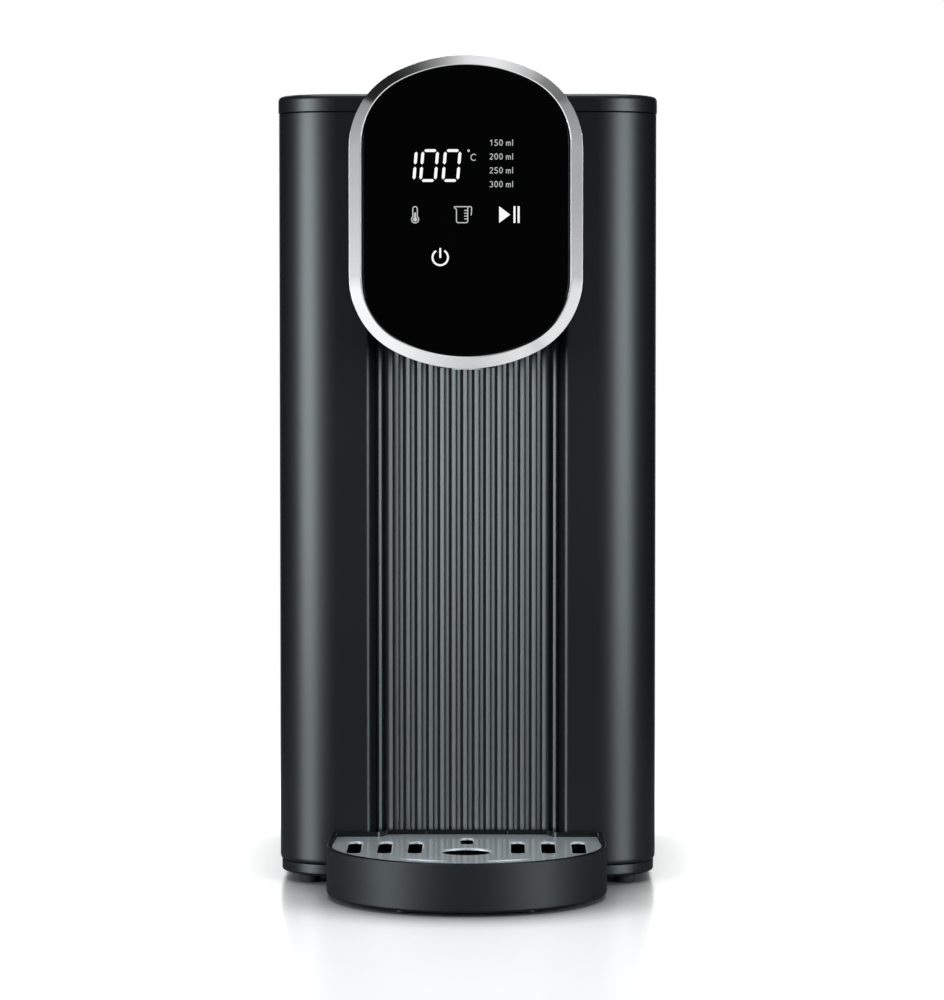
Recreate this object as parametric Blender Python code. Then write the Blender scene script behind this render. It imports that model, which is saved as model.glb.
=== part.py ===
"""Instant hot water dispenser, modelled piece by piece in metres.

+Z is up, the front faces -Y, and the origin is at the middle of the box's floor.
The housing stands on a plinth with rubber feet, carries a round-ended display head over a drip tray,
and a lift-off water tank with a hinged lid stands behind it.
"""

import math

import bmesh
import bpy
import numpy as np
from mathutils import Vector

# Running gap between neighbouring solids, and how far a cutter passes through a wall
GAP = 0.0003
OVERRUN = 0.001
MOVING_GAP = 0.0004

# Body
BODY_WIDTH = 0.1702
CORNER_RADIUS = 0.0272
HOUSING_DEPTH = 0.112
HOUSING_HEIGHT = 0.3366
WALL = 0.0024
TANK_DEPTH = 0.074
TANK_GAP = 0.0008
COVER_HEIGHT = 0.0077
COVER_EDGE = 0.0030
EDGE_SHARE = 0.3
COVER_OVERHANG = 0.0003
LIP_DEPTH = 0.0030
LIP_THICKNESS = 0.0015
REAR_EDGE_RADIUS = 0.0020
HEM_HEIGHT = 0.0030
HEM_INSET = 0.0009

# Plinth and feet
FOOT_HEIGHT = 0.0040
FOOT_RADIUS = 0.0050
FOOT_SETBACK = 0.0140
PLINTH_HEIGHT = 0.0051
PLINTH_INSET = 0.0007
PLINTH_WALL = 0.0020
PLINTH_FLOOR = 0.0020
PLINTH_EDGE = 0.0013

# Channel down the front, and the ribbed splash panel in it
FRONT_FLAT = 0.0138
CHANNEL_DEPTH = 0.0110
CHANNEL_TAPER = 0.0032
CHANNEL_BELOW_HEAD_CENTRE = 0.0380
RIB_PITCH = 0.005135
RIB_WIDTH = 0.0037
RIB_TOP_WIDTH = 0.0019
RIB_HEIGHT = 0.0014
PANEL_THICKNESS = 0.0013
PANEL_BEAD_WIDTH = 0.0018
PANEL_SIDE_GAP = 0.0005

# Head
HEAD_REACH = 0.0720
HEAD_RISE = 0.0127
HEAD_RADIUS = 0.0673
HEAD_HALF_WIDTH = 0.0504
HEAD_FILLET = 0.0343
HEAD_WALL = 0.0020
HEAD_BACK_WALL = 0.0030
HEAD_FAIRING = 0.0300
LEAST_CROWN_SHARE = 0.05
BEZEL_FACE = 0.0050
BEZEL_ROUND_FACE = 0.0044
BEZEL_RISE = 0.0004
BEZEL_DEPTH = 0.0070
BEZEL_CHAMFER = 0.0005
BEZEL_LEDGE = 0.0022
GLASS_GAP = 0.00045
GLASS_SETBACK = 0.0004
GLASS_THICKNESS = 0.0032
GLASS_CHAMFER = 0.0004
PASSAGE_WIDTH = 0.0360
PASSAGE_HEIGHT = 0.0240
PASSAGE_ABOVE_HEAD_CENTRE = 0.0050

# Display electronics
BOARD_THICKNESS = 0.0016
DIGIT_DISPLAY_WIDTH = 0.0300
DIGIT_DISPLAY_HEIGHT = 0.0190
DISPLAY_OFF_CENTRE = 0.0110
DISPLAY_ABOVE_CENTRE = 0.0200
KEY_RADIUS = 0.0045
KEY_PITCH = 0.0212
KEY_ROW_ABOVE_CENTRE = -0.0012
POWER_KEY_DROP = 0.0182
POWER_KEY_OFF_CENTRE = 0.0110

# Spout
SPOUT_FORWARD = 0.0500
SPOUT_RADIUS = 0.0062
SPOUT_BORE = 0.0034
SPOUT_FLANGE_RADIUS = 0.0105
SPOUT_FLANGE_THICKNESS = 0.0020
SPOUT_NECK = 0.0100
SPOUT_RECESS = 0.0003
SPOUT_BOSS_RADIUS = 0.0125
SPOUT_BOSS_HEIGHT = 0.0050
SEAL_THICKNESS = 0.0012

# Drip tray and its grid
TRAY_REACH = 0.0910
TRAY_BODY_INSET = 0.0233
TRAY_TAPER = 0.0012
TRAY_BOTTOM = 0.0017
TRAY_RIM_HEIGHT = 0.0229
TRAY_LIP = 0.0017
TRAY_LIP_RUN = 0.0030
TRAY_BODY_GAP = 0.0005
TRAY_WALL = 0.0020
TRAY_FLOOR = 0.0020
TRAY_EDGE = 0.0012
TRAY_STEP_CLEARANCE = 0.0038
TRAY_STEP_TAPER = 0.0027
TRAY_STEP_DEPTH = 0.0075
TRAY_LEDGE = 0.0018
TRAY_NUB_RADIUS = 0.0040
TRAY_NUB_SPREAD = 0.0280
TRAY_NUB_SETBACK = 0.0120
HOOK_BESIDE_CHANNEL = 0.0074
HOOK_WIDTH = 0.0100
HOOK_THICKNESS = 0.0030
HOOK_LENGTH = 0.0090
HOOK_ABOVE_HOUSING = 0.0035
GRID_GAP = 0.0004
GRID_THICKNESS = 0.0010
GRID_BELOW_RIM = 0.0004
SLOT_WIDTH = 0.0062
SLOT_LENGTH = 0.0310
SLOT_PITCH = 0.01335
GRID_MARGIN = 0.0095
SLOT_FIRST_OFFSET = 0.0225
SLOT_FORWARD = 0.0400
DRAIN_RADIUS = 0.0112
REAR_SLOT_WIDTH = 0.0056
REAR_SLOT_LENGTH = 0.0200
REAR_SLOT_FORWARD = 0.0165

# Tank shelf, dock and tank
SHELF_HEIGHT = 0.0326
DOCK_RADIUS = 0.0140
DOCK_CUP_RADIUS = 0.0115
DOCK_CUP_DEPTH = 0.0105
DOCK_FLANGE_RADIUS = 0.0175
DOCK_FLANGE_THICKNESS = 0.0023
DOCK_PIN_RADIUS = 0.0015
DOCK_PIN_HEIGHT = 0.0045
NOZZLE_RADIUS = 0.0024
NOZZLE_BORE = 0.0013
NOZZLE_LENGTH = 0.0100
NOZZLE_SHOULDER = 0.0030
TANK_WALL = 0.0022
TANK_FLOOR = 0.0026
TANK_LIFT = 0.0005
TANK_FRONT_RADIUS = 0.0060
VALVE_RADIUS = 0.0090
VALVE_BORE = 0.0064
VALVE_SEAT_BORE = 0.0042
VALVE_SEAT_THICKNESS = 0.0040
VALVE_DEPTH = 0.0090
VALVE_FLANGE_RADIUS = 0.0130
VALVE_FLANGE_THICKNESS = 0.0020
SEAL_RING_HEIGHT = 0.0025
PLUNGER_STEM_RADIUS = 0.0015
PLUNGER_DISC_THICKNESS = 0.0020
PLUNGER_OPENING = 0.0030
PLUNGER_HEAD_LENGTH = 0.0130
SPRING_WIRE_RADIUS = 0.0004
SPRING_TURNS = 4
STRAINER_WALL = 0.0012
STRAINER_HEIGHT = 0.0070
STRAINER_RADIUS = 0.0112
FLOAT_RADIUS = 0.0095
FLOAT_HEIGHT = 0.0160
FLOAT_TRAVEL = 0.0220
FLOAT_POST_RADIUS = 0.0025
FLOAT_POST_FOOT_RADIUS = 0.0050
FLOAT_POST_FOOT_HEIGHT = 0.0020
FLOAT_CAP_RADIUS = 0.0060
FLOAT_CAP_HEIGHT = 0.0020
FLOAT_WALL_GAP = 0.0060
HINGE_RADIUS = 0.0028
HINGE_PIN_RADIUS = 0.0011
HINGE_KNUCKLE_LENGTH = 0.0120
HINGE_LUG_LENGTH = 0.0030
HINGE_SIDE_INSET = 0.0179

# Machine parts inside the housing
DOCK_ACROSS = -0.0330
PUMP_RADIUS = 0.0150
PUMP_LENGTH = 0.0130
PUMP_WALL = 0.0022
PUMP_FLOOR_GAP = 0.0035
MOTOR_RADIUS = 0.0125
MOTOR_LENGTH = 0.0330
MOTOR_BOSS_RADIUS = 0.0050
MOTOR_BOSS_LENGTH = 0.0030
SHAFT_RADIUS = 0.0010
IMPELLER_RADIUS = 0.0110
IMPELLER_HUB_RADIUS = 0.0045
IMPELLER_LENGTH = 0.0060
IMPELLER_VANES = 6
VANE_SHARE = 0.35
PUMP_FROM_BULKHEAD = 0.0130
SADDLE_LENGTH = 0.0200
SADDLE_SIDE = 0.0050
HEATER_ACROSS = 0.0380
HEATER_RADIUS = 0.0190
HEATER_BORE = 0.0130
HEATER_LENGTH = 0.1050
HEATER_ABOVE_SHELF = 0.0450
HEATER_FROM_BULKHEAD = 0.0260
HEATER_CAP_HEIGHT = 0.0120
HEATER_SPIGOT = 0.0040
ELEMENT_RADIUS = 0.0070
TERMINAL_RADIUS = 0.0030
TERMINAL_LENGTH = 0.0150
BRACKET_THICKNESS = 0.0022
BRACKET_HEIGHT = 0.0100
CUTOUT_RADIUS = 0.0080
CUTOUT_HEIGHT = 0.0050
SENSOR_RADIUS = 0.0020
SENSOR_LENGTH = 0.0140
HOSE_RADIUS = 0.0042
HOSE_BORE = 0.0030
LEAD_RADIUS = 0.0016
RIBBON_WIDTH = 0.0120
RIBBON_THICKNESS = 0.0008
POWER_BOARD_WIDTH = 0.0640
POWER_BOARD_HEIGHT = 0.0950
POWER_BOARD_SIDE_GAP = 0.0070
POWER_BOARD_ABOVE_SHELF = 0.0620
STANDOFF = 0.0070
STANDOFF_RADIUS = 0.0030
RELAY_WIDTH = 0.0190
RELAY_HEIGHT = 0.0155
RELAY_DEPTH = 0.0150
HEAT_SINK_WIDTH = 0.0300
HEAT_SINK_HEIGHT = 0.0250
HEAT_SINK_DEPTH = 0.0160
HEAT_SINK_FINS = 5
HEAT_SINK_FIN = 0.0020
GLAND_RADIUS = 0.0060
GLAND_NECK_RADIUS = 0.0042
GLAND_BORE = 0.0032
GLAND_FLANGE = 0.0040
GLAND_SIDE_INSET = 0.0079

# Screws and their bosses
SCREW_RADIUS = 0.0015
SCREW_HEAD_RADIUS = 0.0030
SCREW_HEAD_HEIGHT = 0.0018
SCREW_LENGTH = 0.0180
BOSS_RADIUS = 0.0042
BOSS_HEIGHT = 0.0200
BOSS_SINK = 0.0010
HOUSING_SCREW_SETBACK = 0.0400
SHELF_SCREW_SETBACK = 0.0330

# How finely round shapes are stepped
CORNER_STEPS = 6
ROUND_STEPS = 20
SMALL_STEPS = 12
HOSE_SIDES = 6
FAIRING_STEPS = 5
SMOOTH_ANGLE = math.radians(32)

# Heights that follow from the sizes
PLINTH_Z = FOOT_HEIGHT
PLINTH_TOP_Z = PLINTH_Z + PLINTH_HEIGHT
PLINTH_FLOOR_Z = PLINTH_Z + PLINTH_FLOOR
HOUSING_Z = PLINTH_TOP_Z + GAP
HOUSING_TOP_Z = HOUSING_Z + HOUSING_HEIGHT
COVER_Z = HOUSING_TOP_Z + GAP
BODY_TOP_Z = COVER_Z + COVER_HEIGHT
HEAD_Z = BODY_TOP_Z + HEAD_RISE - HEAD_RADIUS
CHANNEL_TOP_Z = HEAD_Z - CHANNEL_BELOW_HEAD_CENTRE
SHELF_TOP_Z = HOUSING_Z + SHELF_HEIGHT
TANK_Z = SHELF_TOP_Z + TANK_LIFT
TANK_INNER_Z = TANK_Z + TANK_FLOOR
HEAD_BOTTOM_Z = HEAD_Z - HEAD_RADIUS

# Places front to back that follow from the sizes
HINGE_OFFSET = HINGE_RADIUS + GAP
FRONT_REACH = max(TRAY_REACH, HEAD_REACH)
OVERALL_DEPTH = FRONT_REACH + HOUSING_DEPTH + TANK_GAP + TANK_DEPTH + HINGE_OFFSET + HINGE_RADIUS
FRONT_Y = FRONT_REACH - OVERALL_DEPTH / 2
HOUSING_REAR_Y = FRONT_Y + HOUSING_DEPTH
BULKHEAD_Y = HOUSING_REAR_Y - WALL
TANK_FRONT_Y = HOUSING_REAR_Y + TANK_GAP
TANK_REAR_Y = TANK_FRONT_Y + TANK_DEPTH
DOCK_Y = (TANK_FRONT_Y + TANK_REAR_Y) / 2

# Places and widths across that follow from the body's width
HALF_WIDTH = BODY_WIDTH / 2
FLAT_HALF_WIDTH = HALF_WIDTH - CORNER_RADIUS
CHANNEL_HALF_WIDTH = FLAT_HALF_WIDTH - FRONT_FLAT
CHANNEL_FLOOR_HALF_WIDTH = CHANNEL_HALF_WIDTH - CHANNEL_TAPER
RIB_COUNT = int(2 * (CHANNEL_FLOOR_HALF_WIDTH - PANEL_SIDE_GAP - PANEL_BEAD_WIDTH) / RIB_PITCH)
TRAY_RADIUS = HALF_WIDTH - TRAY_BODY_INSET
TRAY_STEP_HALF_WIDTH = CHANNEL_HALF_WIDTH - TRAY_STEP_CLEARANCE
HOOK_SPREAD = CHANNEL_HALF_WIDTH + HOOK_BESIDE_CHANNEL
SLOT_LAST_OFFSET = TRAY_RADIUS - TRAY_WALL - GRID_GAP - GRID_MARGIN
SLOTS_EACH_SIDE = 1 + int((SLOT_LAST_OFFSET - SLOT_FIRST_OFFSET) / SLOT_PITCH)
HINGE_SPREAD = FLAT_HALF_WIDTH - HINGE_SIDE_INSET
GLAND_ACROSS = FLAT_HALF_WIDTH - GLAND_SIDE_INSET

# Places in the head
HEAD_FACE_Y = FRONT_Y - HEAD_REACH
BEZEL_BACK_Y = HEAD_FACE_Y + BEZEL_DEPTH
HEAD_FRONT_Y = BEZEL_BACK_Y + GAP
HEAD_REAR_Y = FRONT_Y - COVER_OVERHANG - GAP
HEAD_INNER_REAR_Y = HEAD_REAR_Y - HEAD_BACK_WALL
GLASS_Y = HEAD_FACE_Y + GLASS_SETBACK
GLASS_BACK_Y = GLASS_Y + GLASS_THICKNESS
LEDGE_Y = GLASS_BACK_Y + GAP
BOARD_Y = BEZEL_BACK_Y + GAP
BOARD_BACK_Y = BOARD_Y + BOARD_THICKNESS
PASSAGE_Z = HEAD_Z + PASSAGE_ABOVE_HEAD_CENTRE
SPOUT_Y = FRONT_Y - SPOUT_FORWARD
SPOUT_BOSS_Z = HEAD_BOTTOM_Z + HEAD_WALL + SPOUT_BOSS_HEIGHT
SPOUT_FLANGE_Z = SPOUT_BOSS_Z + SEAL_THICKNESS + 2 * GAP
SPOUT_TOP_Z = SPOUT_FLANGE_Z + SPOUT_FLANGE_THICKNESS + SPOUT_NECK

# Places of the pump, the dock and the heater
PUMP_Z = PLINTH_FLOOR_Z + PUMP_FLOOR_GAP + PUMP_RADIUS
PUMP_INLET_Y = BULKHEAD_Y - PUMP_FROM_BULKHEAD
PUMP_REAR_Y = PUMP_INLET_Y - NOZZLE_LENGTH
PUMP_FRONT_Y = PUMP_REAR_Y - PUMP_LENGTH
MOTOR_REAR_Y = PUMP_FRONT_Y - GAP
MOTOR_FRONT_Y = MOTOR_REAR_Y - MOTOR_LENGTH
DOCK_TOP_Z = SHELF_TOP_Z - GAP
DOCK_CUP_Z = DOCK_TOP_Z - DOCK_CUP_DEPTH
HEATER_Z = SHELF_TOP_Z + HEATER_ABOVE_SHELF
HEATER_TOP_Z = HEATER_Z + HEATER_LENGTH
HEATER_Y = BULKHEAD_Y - HEATER_FROM_BULKHEAD
HEATER_BOTTOM_PORT_Z = HEATER_Z - GAP - HEATER_CAP_HEIGHT / 2
HEATER_CAP_TOP_Z = HEATER_TOP_Z + GAP + HEATER_CAP_HEIGHT

# Places of the valve and the hinge
VALVE_BOTTOM_Z = TANK_Z - VALVE_DEPTH
VALVE_SEAT_Z = VALVE_BOTTOM_Z + VALVE_SEAT_THICKNESS
VALVE_FLANGE_Z = TANK_INNER_Z + GAP
VALVE_TOP_Z = VALVE_FLANGE_Z + VALVE_FLANGE_THICKNESS
PLUNGER_DISC_Z = VALVE_SEAT_Z + PLUNGER_OPENING
PLUNGER_DISC_TOP_Z = PLUNGER_DISC_Z + PLUNGER_DISC_THICKNESS
DOCK_PIN_TOP_Z = DOCK_CUP_Z + DOCK_PIN_HEIGHT
STRAINER_Z = VALVE_TOP_Z + GAP
STRAINER_TOP_Z = STRAINER_Z + STRAINER_HEIGHT
FLOAT_ACROSS = HEATER_ACROSS
FLOAT_Y = TANK_FRONT_Y + TANK_WALL + FLOAT_WALL_GAP + FLOAT_RADIUS
FLOAT_Z = TANK_INNER_Z + GAP + FLOAT_POST_FOOT_HEIGHT + GAP
HINGE_Y = TANK_REAR_Y + HINGE_OFFSET
HINGE_Z = COVER_Z

# Finish of each material: colour as linear red, green and blue, roughness, metallic
FINISHES = {
    "matte_black": ((0.020, 0.022, 0.024), 0.48, 0.0),
    "gloss_black": ((0.004, 0.004, 0.004), 0.08, 0.0),
    "polished_steel": ((0.60, 0.60, 0.61), 0.22, 1.0),
    "satin_steel": ((0.42, 0.43, 0.44), 0.32, 1.0),
    "smoked_clear": ((0.10, 0.11, 0.12), 0.10, 0.0),
    "rubber": ((0.015, 0.015, 0.015), 0.85, 0.0),
    "silicone": ((0.72, 0.72, 0.70), 0.55, 0.0),
    "white_plastic": ((0.70, 0.70, 0.68), 0.45, 0.0),
    "grey_plastic": ((0.16, 0.17, 0.18), 0.50, 0.0),
    "circuit_board": ((0.02, 0.10, 0.04), 0.40, 0.0),
    "aluminium": ((0.55, 0.56, 0.57), 0.35, 1.0),
    "spring_steel": ((0.35, 0.35, 0.36), 0.30, 1.0),
}


def clear_scene():
    for thing in list(bpy.data.objects):
        bpy.data.objects.remove(thing, do_unlink=True)


def material(finish):
    found = bpy.data.materials.get(finish)
    if found:
        return found
    colour, roughness, metallic = FINISHES[finish]
    made = bpy.data.materials.new(finish)
    made.use_nodes = True
    shader = made.node_tree.nodes["Principled BSDF"]
    shader.inputs["Base Color"].default_value = (*colour, 1)
    shader.inputs["Roughness"].default_value = roughness
    shader.inputs["Metallic"].default_value = metallic
    return made


def add_object(name, mesh, finish, origin=(0, 0, 0)):
    """Puts a mesh that is written in world places into the scene, with its own origin."""
    made = bpy.data.objects.new(name, mesh)
    bpy.context.scene.collection.objects.link(made)
    for vertex in mesh.vertices:
        vertex.co -= Vector(origin)
    made.location = origin
    mesh.materials.append(material(finish))
    mesh.shade_smooth()
    mesh.set_sharp_from_angle(angle=SMOOTH_ANGLE)
    return made


def finished_mesh(name, bm):
    bm.normal_update()
    bmesh.ops.recalc_face_normals(bm, faces=bm.faces)
    mesh = bpy.data.meshes.new(name)
    bm.to_mesh(mesh)
    bm.free()
    return mesh


def arc(centre, radius, start, end, steps):
    """Points along a round stretch, both ends included; angles in degrees."""
    return [
        (centre[0] + radius * math.cos(a), centre[1] + radius * math.sin(a))
        for a in np.radians(np.linspace(start, end, steps + 1))
    ]


def rectangle(x0, x1, y0, y1):
    return [(x0, y0), (x1, y0), (x1, y1), (x0, y1)]


def rounded_rectangle(half_width, y0, y1, front_radius, rear_radius):
    """A plan outline, anticlockwise from the front left corner's end."""
    right_front = (half_width - front_radius, y0 + front_radius)
    right_rear = (half_width - rear_radius, y1 - rear_radius)
    return (
        arc(right_front, front_radius, -90, 0, CORNER_STEPS)
        + arc(right_rear, rear_radius, 0, 90, CORNER_STEPS)
        + arc((-right_rear[0], right_rear[1]), rear_radius, 90, 180, CORNER_STEPS)
        + arc((-right_front[0], right_front[1]), front_radius, 180, 270, CORNER_STEPS)
    )


def left_normal(start, end):
    along = Vector((end[0] - start[0], end[1] - start[1])).normalized()
    return Vector((-along.y, along.x))


def offset(points, distance, closed=True):
    """Moves every edge of an outline to its left, which is inwards on an anticlockwise one."""
    moved = []
    count = len(points)
    for i, point in enumerate(points):
        normals = []
        if closed or i > 0:
            normals.append(left_normal(points[i - 1], point))
        if closed or i < count - 1:
            normals.append(left_normal(point, points[(i + 1) % count]))
        total = sum(normals, Vector((0, 0)))
        if len(normals) == 2:
            total *= 1 / (1 + normals[0].dot(normals[1]))
        moved.append((point[0] + total.x * distance, point[1] + total.y * distance))
    return moved


def at_height(outline, z):
    return [Vector((x, y, z)) for x, y in outline]


def at_depth(outline, y):
    """An outline of across and height, stood up at one place front to back."""
    return [Vector((x, y, z)) for x, z in outline]


def at_side(outline, x):
    return [Vector((x, y, z)) for y, z in outline]


def lofted(name, rings, finish, looped=False, origin=(0, 0, 0)):
    """A closed solid through rings of equal length: capped at both ends, or joined end to start."""
    bm = bmesh.new()
    rows = [[bm.verts.new(point) for point in ring] for ring in rings]
    pairs = list(zip(rows, rows[1:]))
    if looped:
        pairs.append((rows[-1], rows[0]))
    else:
        bm.faces.new(rows[0])
        bm.faces.new(rows[-1])
    for lower, upper in pairs:
        for i in range(len(lower)):
            bm.faces.new((lower[i - 1], lower[i], upper[i], upper[i - 1]))
    return add_object(name, finished_mesh(name, bm), finish, origin)


def box(name, x, y, z, finish, origin=(0, 0, 0)):
    outline = rectangle(*x, *y)
    return lofted(name, [at_height(outline, z[0]), at_height(outline, z[1])], finish, origin=origin)


def turned(name, profile, centre, finish, axis="Z", steps=ROUND_STEPS, origin=None):
    """A turned solid: the (radius, height) profile is spun about its axis.

    A profile that starts and ends at radius 0 is solid with flat ends, and any other closes as a ring.
    """
    solid = profile[0][0] == 0
    bm = bmesh.new()
    verts = [bm.verts.new((radius, 0, height)) for radius, height in profile if radius > 0]
    edges = [bm.edges.new(pair) for pair in zip(verts, verts[1:])]
    if not solid:
        edges.append(bm.edges.new((verts[-1], verts[0])))
    bmesh.ops.spin(
        bm, geom=verts + edges, angle=2 * math.pi, steps=steps, axis=(0, 0, 1), cent=(0, 0, 0), use_merge=True
    )
    if solid:
        bmesh.ops.holes_fill(bm, edges=[edge for edge in bm.edges if edge.is_boundary])
    turns = {"Z": (0, 0, 1), "Y": (0, 1, 0), "X": (1, 0, 0)}
    turn = Vector((0, 0, 1)).rotation_difference(Vector(turns[axis]))
    for vertex in bm.verts:
        vertex.co = turn @ vertex.co + Vector(centre)
    return add_object(name, finished_mesh(name, bm), finish, origin or centre)


def rod(radius, bottom, top):
    """The profile of a plain solid cylinder."""
    return [(0, bottom), (radius, bottom), (radius, top), (0, top)]


def sleeve(outer, inner, bottom, top):
    """The profile of a plain bored cylinder."""
    return [(outer, bottom), (outer, top), (inner, top), (inner, bottom)]


def use_as_tool(tool):
    tool.hide_render = True
    tool.display_type = "WIRE"


def combine(target, tool, operation):
    use_as_tool(tool)
    step = target.modifiers.new(tool.name, "BOOLEAN")
    step.operation = operation
    step.object = tool


def cut(target, tool):
    combine(target, tool, "DIFFERENCE")


def join(target, tool):
    combine(target, tool, "UNION")


def smooth_path(points, samples):
    """A smooth run through the points whose first and last stretches stay straight."""
    first, *middle, last = [Vector(point) for point in points]
    slopes = [(after - before) / 2 for before, after in zip(middle, middle[2:])]
    slopes.insert(0, (middle[0] - first).normalized() * (middle[1] - middle[0]).length)
    slopes.append((last - middle[-1]).normalized() * (middle[-1] - middle[-2]).length)
    path = [first]
    spans = len(middle) - 1
    for share in np.linspace(0, spans, samples):
        i = min(int(share), spans - 1)
        t = share - i
        start, end = middle[i], middle[i + 1]
        bend = t * t * (3 - 2 * t)
        path.append(
            start * (1 - bend) + end * bend + slopes[i] * t * (1 - t) ** 2 + slopes[i + 1] * t * t * (t - 1)
        )
    return path + [last]


def path_frames(path, up):
    """The two directions across a path at each of its points, carried along without twist."""
    across = Vector(up)
    frames = []
    for i in range(len(path)):
        tangent = (path[min(i + 1, len(path) - 1)] - path[max(i - 1, 0)]).normalized()
        across = (across - tangent * across.dot(tangent)).normalized()
        frames.append((across, tangent.cross(across)))
    return frames


def swept(path, section, up):
    """Rings of the section (pairs of distances across) at each point of the path."""
    rings = []
    for point, (first, second) in zip(path, path_frames(path, up)):
        rings.append([point + first * a + second * b for a, b in section])
    return rings


def hose(name, points, finish, samples, up=(1, 0, 0), outer=HOSE_RADIUS, bore=HOSE_BORE):
    """A hose with its bore right through."""
    path = smooth_path(points, samples)
    outside = swept(path, arc((0, 0), outer, 0, 360, HOSE_SIDES)[:-1], up)
    inside = swept(path, arc((0, 0), bore, 0, 360, HOSE_SIDES)[:-1], up)
    return lofted(name, outside + inside[::-1], finish, looped=True)


def lead(name, points, finish, samples, section, up=(1, 0, 0)):
    return lofted(name, swept(smooth_path(points, samples), section, up), finish)


def body_front(depth, end_y):
    """The open outline of the housing's outside: left side, front with its channel, right side."""
    left = arc((CORNER_RADIUS - HALF_WIDTH, FRONT_Y + CORNER_RADIUS), CORNER_RADIUS, 180, 270, CORNER_STEPS)
    right = arc((HALF_WIDTH - CORNER_RADIUS, FRONT_Y + CORNER_RADIUS), CORNER_RADIUS, 270, 360, CORNER_STEPS)
    channel = [
        (-CHANNEL_HALF_WIDTH, FRONT_Y),
        (-CHANNEL_FLOOR_HALF_WIDTH, FRONT_Y + depth),
        (CHANNEL_FLOOR_HALF_WIDTH, FRONT_Y + depth),
        (CHANNEL_HALF_WIDTH, FRONT_Y),
    ]
    return [(-HALF_WIDTH, end_y)] + left + channel + right + [(HALF_WIDTH, end_y)]


def screw_boss(name, across, y, finish):
    """A boss against the side wall, and the pilot hole in it."""
    boss = rod(BOSS_RADIUS, HOUSING_Z + GAP, HOUSING_Z + BOSS_HEIGHT)
    boss = turned(name, boss, (across, y, 0), finish, steps=SMALL_STEPS)
    pilot = turned(
        name + "_pilot",
        rod(SCREW_RADIUS + GAP, HOUSING_Z - OVERRUN, HOUSING_Z + BOSS_HEIGHT + OVERRUN),
        (across, y, 0),
        finish,
        steps=SMALL_STEPS,
    )
    return boss, pilot


BOSS_ACROSS = HALF_WIDTH - WALL - BOSS_RADIUS + BOSS_SINK
SCREW_PLACES = {
    "front_left": (-BOSS_ACROSS, FRONT_Y + HOUSING_SCREW_SETBACK),
    "front_right": (BOSS_ACROSS, FRONT_Y + HOUSING_SCREW_SETBACK),
    "rear_left": (-BOSS_ACROSS, TANK_REAR_Y - SHELF_SCREW_SETBACK),
    "rear_right": (BOSS_ACROSS, TANK_REAR_Y - SHELF_SCREW_SETBACK),
}


def make_plinth():
    outline = body_front(CHANNEL_DEPTH, TANK_REAR_Y - CORNER_RADIUS)
    rear = (HALF_WIDTH - CORNER_RADIUS, TANK_REAR_Y - CORNER_RADIUS)
    corners = arc(rear, CORNER_RADIUS, 0, 90, CORNER_STEPS)[1:]
    corners += arc((-rear[0], rear[1]), CORNER_RADIUS, 90, 180, CORNER_STEPS)[:-1]
    outer = offset(outline + corners, PLINTH_INSET)
    inner = offset(outer, PLINTH_WALL)
    plinth = lofted(
        "base_plinth",
        [
            at_height(offset(outer, PLINTH_EDGE), PLINTH_Z),
            at_height(outer, PLINTH_Z + PLINTH_EDGE),
            at_height(outer, PLINTH_TOP_Z),
            at_height(inner, PLINTH_TOP_Z),
            at_height(inner, PLINTH_FLOOR_Z),
        ],
        "matte_black",
    )
    for place, (across, y) in SCREW_PLACES.items():
        hole = rod(SCREW_RADIUS + GAP, PLINTH_Z - OVERRUN, PLINTH_TOP_Z)
        cut(plinth, turned("plinth_hole_" + place, hole, (across, y, 0), "matte_black", steps=SMALL_STEPS))
        screw = [
            (0, PLINTH_Z - GAP - SCREW_HEAD_HEIGHT),
            (SCREW_HEAD_RADIUS, PLINTH_Z - GAP - SCREW_HEAD_HEIGHT),
            (SCREW_HEAD_RADIUS, PLINTH_Z - GAP),
            (SCREW_RADIUS, PLINTH_Z - GAP),
            (SCREW_RADIUS, PLINTH_Z + SCREW_LENGTH),
            (0, PLINTH_Z + SCREW_LENGTH),
        ]
        turned("base_screw_" + place, screw, (across, y, 0), "spring_steel", steps=SMALL_STEPS)


def make_feet():
    side = HALF_WIDTH - FOOT_SETBACK
    for row, y in (("front", FRONT_Y + FOOT_SETBACK), ("rear", TANK_REAR_Y - FOOT_SETBACK)):
        for hand, across in (("left", -side), ("right", side)):
            top = FOOT_HEIGHT - GAP
            profile = [(0, 0), (FOOT_RADIUS - GAP, 0), (FOOT_RADIUS, GAP), (FOOT_RADIUS, top), (0, top)]
            turned(f"foot_{row}_{hand}", profile, (across, y, 0), "rubber", steps=SMALL_STEPS)


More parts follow.
